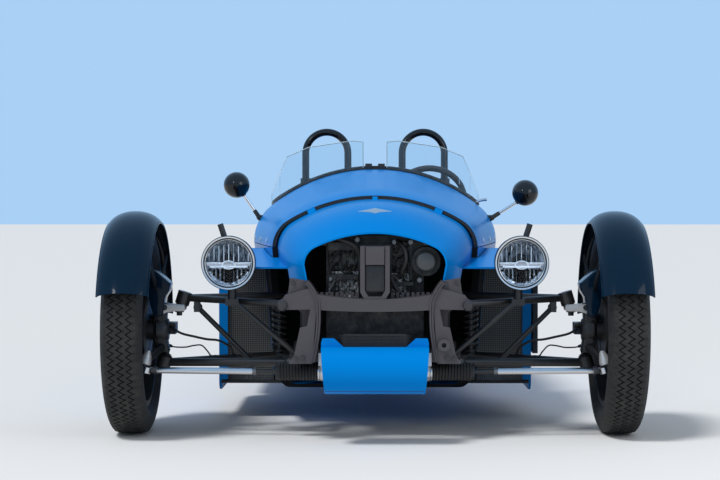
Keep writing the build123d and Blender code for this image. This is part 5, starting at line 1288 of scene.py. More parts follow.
def makeScreenFoot():
    tree = surfaceTree("hull", "bonnet")
    for s, side in flanks:
        bm = bmesh.new()
        points = [screenPoint(tree, s * x, setback, 2.0) for x, setback in finePath(screenPlan["line"])]
        addTube(bm, [spot(*p) for p in points if p is not None], 0.0058, 12)
        if s > 0:
            bridge = [screenPoint(tree, x, 0, 1.5) for x in screenPlan["bridge"]]
            addTube(bm, [spot(*p) for p in bridge if p is not None], 0.0045, 12)
        fit(f"screenFoot_{side}", bm, "bootRubber")
        bm = bmesh.new()
        x0, x1 = sorted(s * x for x in screenPlan["clampX"])
        middle = (x0 + x1) / 2
        foot = screenPoint(tree, middle, 0, 0)
        addBox(bm, [x0, foot.y - 12, foot.z - 2], [x1, foot.y + 10, foot.z + 24])
        bevelAll(bm, 3, 3, 60)
        addBolt(bm, place((middle, foot.y - 12, foot.z + 13), (0, -1, 0)), 0.0055, 0.005)
        fit(f"screenClamp_{side}", bm, "satinBlack")
    bm = bmesh.new()
    x, y = screenPlan["lever"]
    root = Vector((x, y, (dropOn(tree, x, y) or 800) - 2))
    path = [spot(*(root + Vector(step))) for step in screenPlan["leverPath"]]
    addTube(bm, path, screenPlan["leverRadii"], 16)
    fit("scuttleLever", bm, "bareAlloy")
    bm = bmesh.new()
    addTurned(bm, screenPlan["leverFoot"], place(root, (0, 0, 1)), 28)
    fit("leverFoot", bm, "satinBlack")


makeScreenFoot()
print("screens footed")


# Screens: the sheet's bright cut edge, up its inner side and along its top

screenEdge = {"outline": [(40, 1050), (90, 1056), (270, 1030), (362, 992), (440, 820)],
              "plan": [(47, 0), (250, 6), (345, 34), (372, 56), (392, 92), (430, 210)],
              "reach": (49, 428), "steps": 59, "side": 48.5, "footY": 1110, "radius": 0.0021}


def valueAt(table, x):
    for (x1, v1), (x2, v2) in zip(table, table[1:]):
        if x1 <= x <= x2:
            return v1 + (v2 - v1) * (x - x1) / (x2 - x1)
    return table[-1][1] if x > table[-1][0] else table[0][1]


def makeScreenEdges():
    tree = surfaceTree("hull", "bonnet")
    base, lean, baseZ = screenPlan["y"] + 1, screenPlan["lean"], screenPlan["baseZ"]
    inner, outer = screenEdge["reach"]
    points = []
    for x in ends(inner, outer, screenEdge["steps"]):
        z = valueAt(screenEdge["outline"], x)
        points.append((x, base + valueAt(screenEdge["plan"], x) + lean * (z - baseZ), z - 1))
    for s, side in flanks:
        foot = dropOn(tree, s * inner, screenEdge["footY"]) + 8
        rise = ends(foot, points[0][2], 8)[:-1]
        edge = [(screenEdge["side"], base + lean * (z - baseZ), z) for z in rise]
        bm = bmesh.new()
        addTube(bm, [spot(s * x, y, z) for x, y, z in edge + points], screenEdge["radius"], 8)
        fit(f"screenEdge_{side}", bm, "glassEdge")


makeScreenEdges()


# Mirrors: plated arms in black sleeves, glass in the back of each dome

mirrorSizes = {
    "y": 1010, "base": (462, 735), "heads": ((-1, 559, 873), (1, 606, 841)), "radius": 52,
    "arm": [(0.2, 6.8), (0.5, 6.8), (0.8, 6.8), (1.0, 6.8)],
    "sleeve": [(0.0, 9.5), (0.03, 11), (0.1, 11), (0.12, 9), (0.3, 8.4), (0.33, 7.4)],
    "neck": [(0.86, 7.4), (0.88, 9.5), (0.97, 10.5), (1.0, 11)],
}


def makeMirrorTrim():
    size = mirrorSizes
    r = size["radius"]
    for s, x, z in size["heads"]:
        side = "left" if s > 0 else "right"
        start = Vector((s * size["base"][0], size["y"], size["base"][1]))
        end = Vector((s * x - s * r * 0.42, size["y"] - 6, z - r * 0.55))

        def addLength(bm, part):
            # One length of the arm: shares of the way with a radius for each
            points = [spot(*start.lerp(end, t)) for t, _ in size[part]]
            addTube(bm, points, [mm(width) for _, width in size[part]], 20)

        bm = bmesh.new()
        addLength(bm, "arm")
        fit(f"mirrorArm_{side}", bm, "chrome")
        bm = bmesh.new()
        addLength(bm, "sleeve")
        addLength(bm, "neck")
        fit(f"mirrorSleeve_{side}", bm, "mouldedBlack")
        face = place((s * x, size["y"] + 10, z), (0, 1, 0))
        bm = bmesh.new()
        addTurned(bm, [(0, 1.6), (r * 0.5, 1.3), (r - 5, 0.4), (r - 5, -0.6), (0, -0.6)], face, 56)
        fit(f"mirrorGlass_{side}", bm, "mirrorGlass")
        bm = bmesh.new()
        bezel = [(r - 5, -0.5), (r - 4.6, 2.0), (r - 1.5, 2.4), (r + 0.3, 0.5), (r + 0.3, -5), (r - 5, -0.5)]
        addTurned(bm, bezel, face, 56)
        fit(f"mirrorBezel_{side}", bm, "mouldedBlack")


makeMirrorTrim()


# Brake hoses and sensor leads from the frame to each wheel carrier

hosePaths = {
    "brakeHose": {"radius": 4.2, "left": [(735, 92, 372), (718, 46, 368), (680, 30, 345), (631, 45, 331),
                                          (590, 48, 322), (548, 50, 317), (512, 82, 292), (499, 122, 262),
                                          (470, 150, 262)]},
    "sensorLead": {"radius": 2.6, "left": [(728, 100, 296), (708, 96, 291), (669, 88, 291), (640, 84, 297),
                                           (612, 80, 298), (591, 79, 278), (579, 81, 262), (560, 84, 262)]},
}


def makeHoses():
    for name, hose in hosePaths.items():
        for s, side in flanks:
            line = [spot(s * p.x, p.y, p.z) for p in smoothPath(hose["left"])]
            bm = bmesh.new()
            addTube(bm, line, mm(hose["radius"]), 14)
            piece = linkMesh(f"{name}_{side}", bm)
            piece.data.materials.append(paint["bootRubber"])
            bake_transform(piece)
            bm = bmesh.new()
            tip = (line[1] - line[0]).normalized()
            nut = Matrix.Translation(line[0] + tip * 0.004) @ frameAlong(tip)
            addHexagon(bm, nut, mm(hose["radius"] + 3), 0.012)
            fit(f"{name}End_{side}", bm, "brightSteel", f"knuckle_{side}", angle=30)


makeHoses()
print("mirrors and hoses made")


# Brake discs: plain faces with black spots of painted shade for drilled holes, and the caliper's pins

discSizes = {"x": 790, "thick": 8, "face": 0.8, "outer": 127.5, "inner": 74, "holes": 18, "holeReach": 86,
             "holeStep": 14, "boltX": 764, "boltY": 114, "boltZ": (330, 390), "pinX": (768, 820), "pinY": 148,
             "pinZ": (338, 382)}


def makeDiscs():
    size = discSizes
    inner, outer, thin = size["inner"], size["outer"], size["face"]
    near, far = size["x"], size["x"] + size["thick"]
    for s, side in flanks:
        bm = bmesh.new()
        for x, way in ((near - 0.1, -1), (far + 0.1, 1)):
            face = place((s * x, 0, hubHeight), (s * way, 0, 0))
            addTurned(bm, [(inner, 0), (inner, thin), (outer, thin), (outer, 0)], face, 72)
        fit(f"discFaces_{side}", bm, "discSteel", f"front_wheel_{side}")
        # Black spots on both faces: painted shade standing in for drilled holes
        bm = bmesh.new()
        for x, way in ((near - 0.95, -1), (far + 0.95, 1)):
            for i in range(size["holes"]):
                a = 2 * math.pi * i / size["holes"]
                reach = size["holeReach"] + size["holeStep"] * (i % 3)
                hole = place((s * x, reach * math.cos(a), hubHeight + reach * math.sin(a)), (s * way, 0, 0))
                addTurned(bm, [(0, 0.05), (3.6, 0.05), (3.8, -0.3)], hole, 14)
        fit(f"discHoleShade_{side}", bm, "satinBlack", f"front_wheel_{side}")
        bm = bmesh.new()
        for z in size["boltZ"]:
            addBolt(bm, place((s * size["boltX"], size["boltY"], z), (-s, 0, 0)), 0.0075, 0.009)
        for z in size["pinZ"]:
            addTube(bm, [spot(s * x, size["pinY"], z) for x in size["pinX"]], 0.0052, 14)
        fit(f"caliperPins_{side}", bm, "brightSteel", f"knuckle_{side}", angle=30)


makeDiscs()


# Pod mouths: woven wire before the radiators

podMesh = {"x": (379, 561), "z": (142, 588), "y": 447, "pitch": 8.0, "wire": 2.0}


def makePodMesh():
    size = podMesh
    y, wire = size["y"], size["wire"]
    (x0, x1), (z0, z1) = size["x"], size["z"]
    for s, side in flanks:
        bm = bmesh.new()
        x = x0
        while x < x1:
            left, right = sorted((s * x, s * (x + wire)))
            addBox(bm, [left, y, z0], [right, y + 1.4, z1])
            x += size["pitch"]
        left, right = sorted((s * x0, s * x1))
        z = z0
        while z < z1:
            addBox(bm, [left, y + 1, z], [right, y + 2.4, z + wire])
            z += size["pitch"]
        fit(f"podMesh_{side}", bm, "wireGrey", smooth=False)


makePodMesh()


# Chin grille: fine wire before the CAD panel, cut on the slant at its ends

chinMesh = {"z": (326, 364), "half": 125, "slant": 18, "y": -316, "pitch": 5.0, "wire": 1.1}


def makeChinMesh():
    size = chinMesh
    y, wire = size["y"], size["wire"]
    low, high = size["z"]
    bm = bmesh.new()
    z = low
    while z < high:
        half = size["half"] - size["slant"] * (1 - (z - low) / (high - low)) - 4
        addBox(bm, [-half, y, z], [half, y + 1.2, z + wire])
        z += size["pitch"]
    reach = size["half"] - size["slant"]
    x = -reach
    while x < reach:
        addBox(bm, [x, y - 0.8, low], [x + wire, y + 0.4, high])
        x += size["pitch"]
    fit("chinMesh", bm, "chinWire", smooth=False)


makeChinMesh()


# Chin cover: painted shade, a dark line above its lower edge where the panel folds under

chinCreaseShade = {"z": 184, "reach": 168, "step": 6, "radius": 1.4}


def makeChinCreaseShade():
    tree = surfaceTree("chin_cover")
    count = chinCreaseShade["reach"] // chinCreaseShade["step"]
    points = []
    for i in range(-count, count + 1):
        hit = tree.ray_cast(spot(i * chinCreaseShade["step"], -600, chinCreaseShade["z"]), Vector((0, 1, 0)))[0]
        if hit is not None:
            points.append(hit + Vector((0, 0.0007, 0)))
    bm = bmesh.new()
    addTube(bm, points, mm(chinCreaseShade["radius"]), 10)
    fit("chinCreaseShade", bm, "bootRubber")


makeChinCreaseShade()


# Dashboard: two round dials with marks and needles, a row of switches

dashSizes = {"dials": ((-62, 52), (62, 52)), "marks": 24, "sweep": 270, "start": 225,
             "switches": 6, "switchX": -70, "switchPitch": 28, "switchDrop": 84}


def dashDialZ():
    # Middle height of the round dials, read from the dashboard's faces nearest the seats
    mesh = nodes["dashboard"].data
    back = max(v.co.y for v in mesh.vertices)
    heights = [v.co.z for v in mesh.vertices if v.co.y > back - 0.0005]
    return (min(heights) + max(heights)) / 2 * 1000


def makeDial(i, x, radius, faceY, dialZ):
    face = place((x, faceY, dialZ), (0, 1, 0))
    inner, outer = radius - 5, radius + 1.2
    bezel = [(inner, 0.4), (radius - 4, 3.5), (radius - 1, 4), (outer, 1), (outer, -8), (inner, 0.4)]
    bm = bmesh.new()
    addTurned(bm, bezel, face, 56)
    fit(f"dialBezel_{i}", bm, "chrome")
    bm = bmesh.new()
    addTurned(bm, [(0, 0.5), (inner, 0.5), (inner, 0.1)], face, 56)
    fit(f"dialFace_{i}", bm, "dialFace")

    def addHand(angle, proud, middle, long, thick, wide):
        # A bar on the dial's face, pointing out from its middle
        turn = Matrix.Translation(spot(x, faceY + proud, dialZ)) @ Matrix.Rotation(-angle, 4, "Y")
        turn = turn @ Matrix.Translation((mm(middle), 0, 0))
        bmesh.ops.create_cube(bm, size=1, matrix=turn @ Matrix.Diagonal((mm(long), thick, wide, 1)))

    bm = bmesh.new()
    for k in range(dashSizes["marks"] + 1):
        long = 9 if k % 4 == 0 else 5
        angle = math.radians(dashSizes["start"] - k * dashSizes["sweep"] / dashSizes["marks"])
        addHand(angle, 0.9, radius - 8 - long / 2, long, 0.0006, 0.0016)
    addHand(math.radians(dashSizes["start"]), 2.2, radius * 0.33, radius * 0.72, 0.0008, 0.0022)
    fit(f"dialMarks_{i}", bm, "dialMark", smooth=False)


def makeDash():
    faceY = (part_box("dashboard")[1][1] - axleOffset) * 1000
    dialZ = dashDialZ()
    for i, (x, radius) in enumerate(dashSizes["dials"]):
        makeDial(i, x, radius, faceY, dialZ)
    bm = bmesh.new()
    z = dialZ - dashSizes["switchDrop"]
    for k in range(dashSizes["switches"]):
        x = dashSizes["switchX"] + dashSizes["switchPitch"] * k
        addTurned(bm, [(8, 0), (8, 3), (6, 5), (0, 5)], place((x, faceY - 12, z), (0, 1, 0)), 24)
        addTube(bm, [spot(x, faceY - 8, z), spot(x, faceY + 9, z + 5)], [0.002, 0.0034], 12)
    fit("dashSwitches", bm, "chrome")


makeDash()


# Steering wheel: padded rim with stitching, three drilled alloy spokes and a plain boss

wheelSizes = {
    "x": 225, "y": 1265, "z": 806, "tilt": 24, "radius": 150, "tube": 13, "grips": 16, "stitches": 120,
    "boss": 27, "bossBolts": 6, "spokes": (0, 180, 270), "spokeInner": 24, "spokeRows": 14,
    "hollows": (3, 4, 6, 7, 9, 10), "thick": 0.0022, "web": 0.28,
}


def wheelFrame():
    # The wheel's own frame: X across the car, Y up the wheel, Z along its shaft towards the seat
    a = math.radians(wheelSizes["tilt"])
    c, s = math.cos(a), math.sin(a)
    base = Matrix(((1, 0, 0, 0), (0, -s, c, 0), (0, c, s, 0), (0, 0, 0, 1)))
    return Matrix.Translation(spot(wheelSizes["x"], wheelSizes["y"], wheelSizes["z"])) @ base


def makeWheelRim(base):
    # Padded rim, with finger grips pressed into its far side
    size = wheelSizes
    bm = bmesh.new()
    circle = [base @ Vector((x, y, 0)) for x, y in circlePoints(96, mm(size["radius"]))]
    addTube(bm, circle, mm(size["tube"]), 20, closed=True)
    for vertex in bm.verts:
        local = base.inverted() @ vertex.co
        angle = math.atan2(local.y, local.x)
        if local.z < 0:
            local.z *= 1 - 0.1 * max(0, math.cos(angle * size["grips"]))
        vertex.co = base @ local
    return fit("steeringRim", bm, "leather", "steering_wheel_body")


def makeStitches(base):
    size = wheelSizes
    reach = mm(size["radius"] - size["tube"] - 0.2)
    bm = bmesh.new()
    for i in range(size["stitches"]):
        turn = base @ Matrix.Rotation(2 * math.pi * (i + 0.5) / size["stitches"], 4, "Z")
        turn = turn @ Matrix.Translation((reach, 0, 0.001)) @ Matrix.Rotation(0.6, 4, "X")
        bmesh.ops.create_cube(bm, size=1, matrix=turn @ Matrix.Diagonal((0.0011, 0.0011, 0.0052, 1)))
    fit("steeringStitches", bm, "satinBlack", "steering_wheel_body", smooth=False)


def addHollow(bm, edges, others, k):
    # One side of an opening in a spoke: its edges run in from the rim of the spoke, and a wall joins them
    (low, high), (lowOther, highOther) = edges, others
    inLow, inHigh = ([bm.verts.new(row[j].co.lerp(far[j].co, wheelSizes["web"])) for j in (k, k + 1)]
                     for row, far in ((low, lowOther), (high, highOther)))
    bm.faces.new((high[k], high[k + 1], inHigh[1], inHigh[0]))
    bm.faces.new((low[k], low[k + 1], inLow[1], inLow[0]))
    bm.faces.new((inLow[0], inLow[1], inHigh[1], inHigh[0]))


def addSpoke(bm, spoke):
    # A waisted flat spoke with three openings; a and b are its sides, 0 its far face and 1 its near face
    size = wheelSizes
    rows, thick = size["spokeRows"], size["thick"]
    inner, outer = mm(size["spokeInner"]), mm(size["radius"] - 5)
    edge = [(inner + (outer - inner) * k / rows, 0.0165 - 0.006 * math.sin(math.pi * k / rows))
            for k in range(rows + 1)]
    (a0, b0), (a1, b1) = ([[bm.verts.new(spoke @ Vector((r, side * half, z))) for r, half in edge]
                           for side in (-1, 1)] for z in (-thick, thick))
    for k in range(rows):
        if k in size["hollows"]:
            addHollow(bm, (a0, a1), (b0, b1), k)
            addHollow(bm, (b0, b1), (a0, a1), k)
        else:
            bm.faces.new((a1[k], a1[k + 1], b1[k + 1], b1[k]))
            bm.faces.new((a0[k], b0[k], b0[k + 1], a0[k + 1]))
        bm.faces.new((a0[k], a0[k + 1], a1[k + 1], a1[k]))
        bm.faces.new((b0[k], b0[k + 1], b1[k + 1], b1[k]))


def makeSteeringWheel():
    base = wheelFrame()
    boss = wheelSizes["boss"]
    rim = makeWheelRim(base)
    makeStitches(base)
    bm = bmesh.new()
    for angle in wheelSizes["spokes"]:
        addSpoke(bm, base @ Matrix.Rotation(math.radians(angle), 4, "Z"))
    bmesh.ops.remove_doubles(bm, verts=bm.verts, dist=1e-6)
    fit("steeringSpokes", bm, "bareAlloy", "steering_wheel_body", angle=25)
    bm = bmesh.new()
    addTurned(bm, [(0, 17), (boss - 8, 16.5), (boss - 3, 14), (boss, 10), (boss, -15), (0, -15)], base, 48)
    shaft = base @ Matrix.Translation((0, 0, -0.015))
    addTurned(bm, [(0, 0), (11, 0), (11, -120), (0, -120)], shaft, 24)
    for x, y in circlePoints(wheelSizes["bossBolts"], 0.0185):
        addBolt(bm, base @ Matrix.Translation((x, y, 0.0155)), 0.0026, 0.003)
    fit("steeringBoss", bm, "satinBlack", "steering_wheel_body", angle=30)
    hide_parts("steering_wheel")


makeSteeringWheel()
print("dash and steering wheel made")


# Tail: ribbed lamps in plated rings and a blank plate in its frame

tailSizes = {
    "lampX": 130, "lampZ": 545, "lampRadius": 42, "ribs": 12, "y": 3189, "plateY": 3170, "plateZ": 427,
    "plateHalf": (150, 55), "plateBolts": (-110, 110),
}


def makeTailLamps():
    size = tailSizes
    inner, outer = size["lampRadius"] - 3, size["lampRadius"] + 1.6
    ring = [(inner, -4), (inner + 1, -0.2), (outer - 0.8, -0.4), (outer, -4), (outer, -12), (inner, -4)]
    for s, side in flanks:
        face = place((s * size["lampX"], size["y"], size["lampZ"]), (0, 1, 0))
        bm = bmesh.new()
        addTurned(bm, ring, face, 56)
        fit(f"tailRing_{side}", bm, "chrome")
        bm = bmesh.new()
        profile = [(0, -1.2)]
        for k in range(1, size["ribs"] + 1):
            share = k / size["ribs"]
            profile.append((inner * k / size["ribs"], -1.2 - 1.0 * (k % 2) - 3.0 * share ** 3))
        profile.append((inner, -8))
        addTurned(bm, profile, face, 56)
        fit(f"tailLens_{side}", bm, "redLens", angle=60)


def makePlate():
    # A blank plate in its frame
    y, z = tailSizes["plateY"], tailSizes["plateZ"]
    half, tall = tailSizes["plateHalf"]
    bm = bmesh.new()
    addBox(bm, [-half + 4, y + 0.5, z - tall + 4], [half - 4, y + 2.2, z + tall - 4])
    bevelAll(bm, 0.6, 2, 60)
    fit("blankPlate", bm, "plateWhite")
    bm = bmesh.new()
    for x0, x1, z0, z1 in ((-half, half, tall - 4, tall), (-half, half, -tall, -tall + 4),
                           (-half, -half + 4, -tall, tall), (half - 4, half, -tall, tall)):
        addBox(bm, [x0, y, z + z0], [x1, y + 4.5, z + z1])
    for x in tailSizes["plateBolts"]:
        addTurned(bm, [(0, 3), (4, 2.4), (5, 0)], place((x, y + 2, z + 30), (0, 1, 0)), 20)
    fit("plateFrame", bm, "mouldedBlack", angle=30)


makeTailLamps()
makePlate()


# Turn latch and its plate near the rear edge of the boot lid

latchSizes = {"y": 2835, "plate": [(0, 5), (12, 4.5), (17, 3), (20, 0), (20, -2), (0, -2)],
              "handle": (0.034, 0.0065, 0.009), "handleHeight": 0.008}


def makeLidLatch():
    tree = surfaceTree("boot_lid")
    y = latchSizes["y"]
    z = dropOn(tree, 0, y)
    normal = Vector((0, (dropOn(tree, 0, y - 20) - z) / 20, 1)).normalized()
    bm = bmesh.new()
    base = place((0, y, z), normal)
    addTurned(bm, latchSizes["plate"], base, 40)
    handle = base @ Matrix.Translation((0, 0, latchSizes["handleHeight"]))
    bmesh.ops.create_cube(bm, size=1, matrix=handle @ Matrix.Diagonal((*latchSizes["handle"], 1)))
    bevelAll(bm, 0.8, 2, 60)
    fit("lidLatch", bm, "chrome", "boot_lid_body", angle=40)


makeLidLatch()


# Rear wheel: axle nuts, a disc and the bolts of its carrier and pulley

rearTrim = {
    "nutX": 183, "discX": -92, "disc": [(62, 0), (62, 7), (122, 7), (122, 0), (62, 0)],
    "rings": [("rearDisc", "discSteel", -102, 27, 0.0, 0.0055),
              ("pulleyBolts", "brightSteel", 137, 52, 0.5, 0.0065)],
}


def makeRearWheelTrim():
    bm = bmesh.new()
    for s in (-1, 1):
        nut = place((s * rearTrim["nutX"], *rearAxle), (s, 0, 0))
        addBolt(bm, nut, 0.015, 0.014)
        addTurned(bm, [(0, 17), (9, 17), (9, 20), (0, 20)], nut, 20)
    fit("rearAxleNuts", bm, "brightSteel", angle=30)
    hubY, hubZ = rearAxle
    for name, finish, x, circle, shift, radius in rearTrim["rings"]:
        bm = bmesh.new()
        if name == "rearDisc":
            addTurned(bm, rearTrim["disc"], place((rearTrim["discX"], *rearAxle), (-1, 0, 0)), 64)
        for y, z in circlePoints(6, circle, shift):
            addBolt(bm, place((x, hubY + y, hubZ + z), (math.copysign(1, x), 0, 0)), radius, 0.006)
        fit(name, bm, finish, "rear_wheel", angle=30)


makeRearWheelTrim()


# Exhaust: clamps, a slotted heat shield and a plated tip

exhaustSizes = {
    "x": -530, "z": 232, "box": (1200, 1720), "tipStart": 1838, "shieldRadius": 57.5, "slats": 15,
    "cells": 22, "arc": (100, 160), "clamp": [(26.5, -9), (29.5, -8), (29.5, 8), (26.5, 9)],
    "tip": [(26.4, 0), (28.4, 3), (28.6, 56), (27.6, 61), (24.5, 61.5), (22.2, 58), (22.2, 40)],
}


def makeHeatShield(x, z, start, end):
    # Curved slats in a row, each one pierced by short slots
    size = exhaustSizes
    radius, slats, cells = size["shieldRadius"], size["slats"], size["cells"]
    first, arc = size["arc"]
    bm = bmesh.new()
    for k in range(slats):
        y = start + (end - start) * (k + 0.5) / slats
        for j in range(cells):
            a0 = math.radians(first + arc * j / cells)
            a1 = math.radians(first + arc * (j + 1) / cells)
            wide = (end - start) / slats / 2 * (0.45 if j % 7 == 5 else 1.0)
            corners = ((a0, y - wide), (a1, y - wide), (a1, y + wide), (a0, y + wide))
            bm.faces.new([bm.verts.new(spot(x + radius * math.cos(a), along, z + radius * math.sin(a)))
                          for a, along in corners])
    bmesh.ops.remove_doubles(bm, verts=bm.verts, dist=1e-5)
    bmesh.ops.solidify(bm, geom=bm.faces[:], thickness=0.0014)
    fit("heatShield", bm, "heatShield", angle=30)


def makeExhaustTrim():
    size = exhaustSizes
    x, z = size["x"], size["z"]
    start, end = size["box"]
    bm = bmesh.new()
    for y in (start - 26, end + 16):
        addTurned(bm, size["clamp"], place((x, y, z), (0, 1, 0)), 40)
        addBolt(bm, place((x - 31, y, z), (-1, 0, 0)), 0.006, 0.01)
    addTurned(bm, size["tip"], place((x, size["tipStart"], z), (0, 1, 0)), 48)
    fit("exhaustTrim", bm, "chrome")
    makeHeatShield(x, z, start + 40, end - 40)


makeExhaustTrim()


# Luggage board and side plates: washers round the bolt holes

boardTrim = {
    "rackY": (570, 990), "rackZ": (275, 475), "faces": ((614, 1), (-580, -1)), "stripY": (640, 780, 920),
    "stripX": (611, 616.5), "stripZ": (268, 458), "stripHalf": 14,
    "washer": [(5, 0), (5, 1.6), (11, 1.6), (12, 0.8), (12, 0), (5, 0)],
}


def makeBoardTrim():
    trim = boardTrim
    bm = bmesh.new()
    for y in trim["rackY"]:
        for z in trim["rackZ"]:
            for x, s in trim["faces"]:
                addTurned(bm, trim["washer"], place((x, y, z), (s, 0, 0)), 28)
    fit("boardWashers", bm, "brightSteel", angle=40)
    bm = bmesh.new()
    (x0, x1), (z0, z1), half = trim["stripX"], trim["stripZ"], trim["stripHalf"]
    for y in trim["stripY"]:
        addBox(bm, [x0, y - half, z0], [x1, y + half, z1])
    bevelAll(bm, 2, 2, 60)
    fit("boardStrips", bm, "bootRubber")


makeBoardTrim()


# Bonnet fasteners: slotted round heads along the shut lines

fasteners = {"y": (330, 620, 910), "z": 664, "head": [(0, 2.4), (7, 2.2), (9.5, 1.2), (10, 0), (10, -2)],
             "slotHeight": 0.0024, "slot": (0.012, 0.0016, 0.001)}


def makeFasteners():
    bm = bmesh.new()
    tree = surfaceTree("bonnet", "hull")
    count = 0
    for s in (-1, 1):
        for y in fasteners["y"]:
            hit, normal, _, _ = tree.ray_cast(spot(s * 900, y, fasteners["z"]), Vector((-s, 0, 0)))
            if hit is None:
                continue
            head = Matrix.Translation(hit) @ frameAlong(normal)
            addTurned(bm, fasteners["head"], head, 28)
            slot = head @ Matrix.Translation((0, 0, fasteners["slotHeight"]))
            bmesh.ops.create_cube(bm, size=1, matrix=slot @ Matrix.Diagonal((*fasteners["slot"], 1)))
            count += 1
    fit("bonnetFasteners", bm, "brightSteel")
    return count


print("fasteners:", makeFasteners())


# Seats: each pad is swollen by a cloth simulation, then gets its seams and piping

seatPads = {
    "cushion": {"size": (0.290, 0.446, 0.092), "centre": (1500, 254), "tilt": 8, "along": "Y"},
    "back": {"size": (0.290, 0.074, 0.446), "centre": (1805, 522), "tilt": -14, "along": "Z"},
}
seatStyle = {"x": 235, "corner": 0.026, "voxel": 0.006, "pressure": 4.0, "frames": 20, "limit": 0.024,
             "channels": 5, "channelDepth": 0.006, "pipe": 0.0028, "pipePoints": 72, "pipePower": 0.35,
             "foldHalf": 138, "foldLow": (1700, 224), "foldHigh": (1766, 322)}


def roundedBlock(size, corner):
    bm = bmesh.new()
    bmesh.ops.create_cube(bm, size=1, matrix=Matrix.Diagonal((*size, 1)))
    bmesh.ops.bevel(bm, geom=bm.edges[:], offset=corner, segments=4, affect="EDGES", profile=0.5)
    mesh = bpy.data.meshes.new("padStart")
    bm.to_mesh(mesh)
    bm.free()
    return mesh


def swell(piece):
    # Cloth under pressure, with each point's travel capped, applied to the mesh
    scene = bpy.context.scene
    remesh = piece.modifiers.new("voxels", "REMESH")
    remesh.mode = "VOXEL"
    remesh.voxel_size = seatStyle["voxel"]
    applyModifiers(piece)
    before = [v.co.copy() for v in piece.data.vertices]
    cloth = piece.modifiers.new("cloth", "CLOTH")
    cloth.settings.quality = 5
    cloth.settings.use_pressure = True
    cloth.settings.uniform_pressure_force = seatStyle["pressure"]
    cloth.settings.effector_weights.gravity = 0
    cloth.point_cache.frame_end = seatStyle["frames"]
    for step in range(1, seatStyle["frames"] + 1):
        scene.frame_set(step)
    applyModifiers(piece)
    for vertex, start in zip(piece.data.vertices, before):
        move = vertex.co - start
        if move.length > seatStyle["limit"]:
            vertex.co = start + move * (seatStyle["limit"] / move.length)
    scene.frame_set(1)


def applyModifiers(piece):
    graph = bpy.context.evaluated_depsgraph_get()
    mesh = bpy.data.meshes.new_from_object(piece.evaluated_get(graph))
    piece.modifiers.clear()
    old = piece.data
    piece.data = mesh
    bpy.data.meshes.remove(old)


def sewChannels(mesh, wide, long, flat):
    # Sewn channels run along the pad on its face, between the side bolsters
    count = seatStyle["channels"]
    for vertex in mesh.vertices:
        x = vertex.co.x
        run, lift = (vertex.co.y, vertex.co.z) if flat else (vertex.co.z, -vertex.co.y)
        if lift <= 0.01 or abs(x) > wide * 0.74 or abs(run) > long * 0.93:
            continue
        phase = (x / (wide * 0.72) + 1) / 2 * count
        depth = seatStyle["channelDepth"] * (1 - min(abs(phase - round(phase)) * 5.0, 1.0)) ** 1.3
        depth *= max(min((long * 0.93 - abs(run)) / 0.03, 1.0), 0)
        if flat:
            vertex.co.z -= depth
        else:
            vertex.co.y += depth


def addPiping(name, mesh, wide, long, flat, centre, turn):
    # Piping round the front edge of the pad
    tree = BVHTree.FromPolygons([v.co for v in mesh.vertices], [p.vertices for p in mesh.polygons])
    power = seatStyle["pipePower"]
    points = []
    for u, v in circlePoints(seatStyle["pipePoints"], 1):
        x = wide * 0.86 * math.copysign(abs(u) ** power, u)
        run = long * 0.93 * math.copysign(abs(v) ** power, v)
        start, way = ((x, run, 0.4), (0, 0, -1)) if flat else ((x, -0.4, run), (0, 1, 0))
        hit = tree.ray_cast(Matrix.Translation(centre) @ turn @ Vector(start), turn.to_3x3() @ Vector(way))[0]
        if hit:
            points.append(hit)
    bm = bmesh.new()
    addTube(bm, points, seatStyle["pipe"], 8, closed=True)
    fit(name + "Piping", bm, "piping")


def makePad(name, pad, s):
    piece = bpy.data.objects.new(name, roundedBlock(pad["size"], seatStyle["corner"]))
    bpy.context.scene.collection.objects.link(piece)
    swell(piece)
    flat = pad["along"] == "Y"
    wide, long = pad["size"][0] / 2, pad["size"][1 if flat else 2] / 2
    sewChannels(piece.data, wide, long, flat)
    turn = Matrix.Rotation(math.radians(pad["tilt"]), 4, "X")
    centre = spot(s * seatStyle["x"], *pad["centre"])
    piece.data.transform(Matrix.Translation(centre) @ turn)
    piece.modifiers.new("finer", "SUBSURF").levels = 1
    applyModifiers(piece)
    for poly in piece.data.polygons:
        poly.use_smooth = True
    dress(piece, paint["leather"], "chassis")
    addPiping(name, piece.data, wide, long, flat, centre, turn)
    return piece


def makeFold(s, side):
    # Bolster that closes the fold between cushion and back
    x, half = s * seatStyle["x"], seatStyle["foldHalf"]
    bm = bmesh.new()
    addBox(bm, [x - half, *seatStyle["foldLow"]], [x + half, *seatStyle["foldHigh"]])
    bevelAll(bm, 14, 3, 60)
    fit(f"seatFold_{side}", bm, "leather")


for s, side in flanks:
    for padName, pad in seatPads.items():
        padPiece = makePad(f"{padName}_{side}", pad, s)
        if side == "left" and padName == "cushion":
            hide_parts("seats")
    makeFold(s, side)
print("seats padded")


# Stage: floor, light and camera

stageSize = {"floorHalf": 60.0, "floorColor": (0.82, 0.82, 0.81)}


def makeFloor():
    bm = bmesh.new()
    bmesh.ops.create_grid(bm, x_segments=1, y_segments=1, size=stageSize["floorHalf"])
    floor = linkMesh("floor", bm, smooth=False)
    material = newMaterial("floorPaint", {"color": stageSize["floorColor"], "rough": 0.85})
    floor.data.materials.append(material)


backdrop = {"light": (0.86, 0.92, 1.0), "lightStrength": 0.42, "shown": (0.40, 0.63, 0.92)}


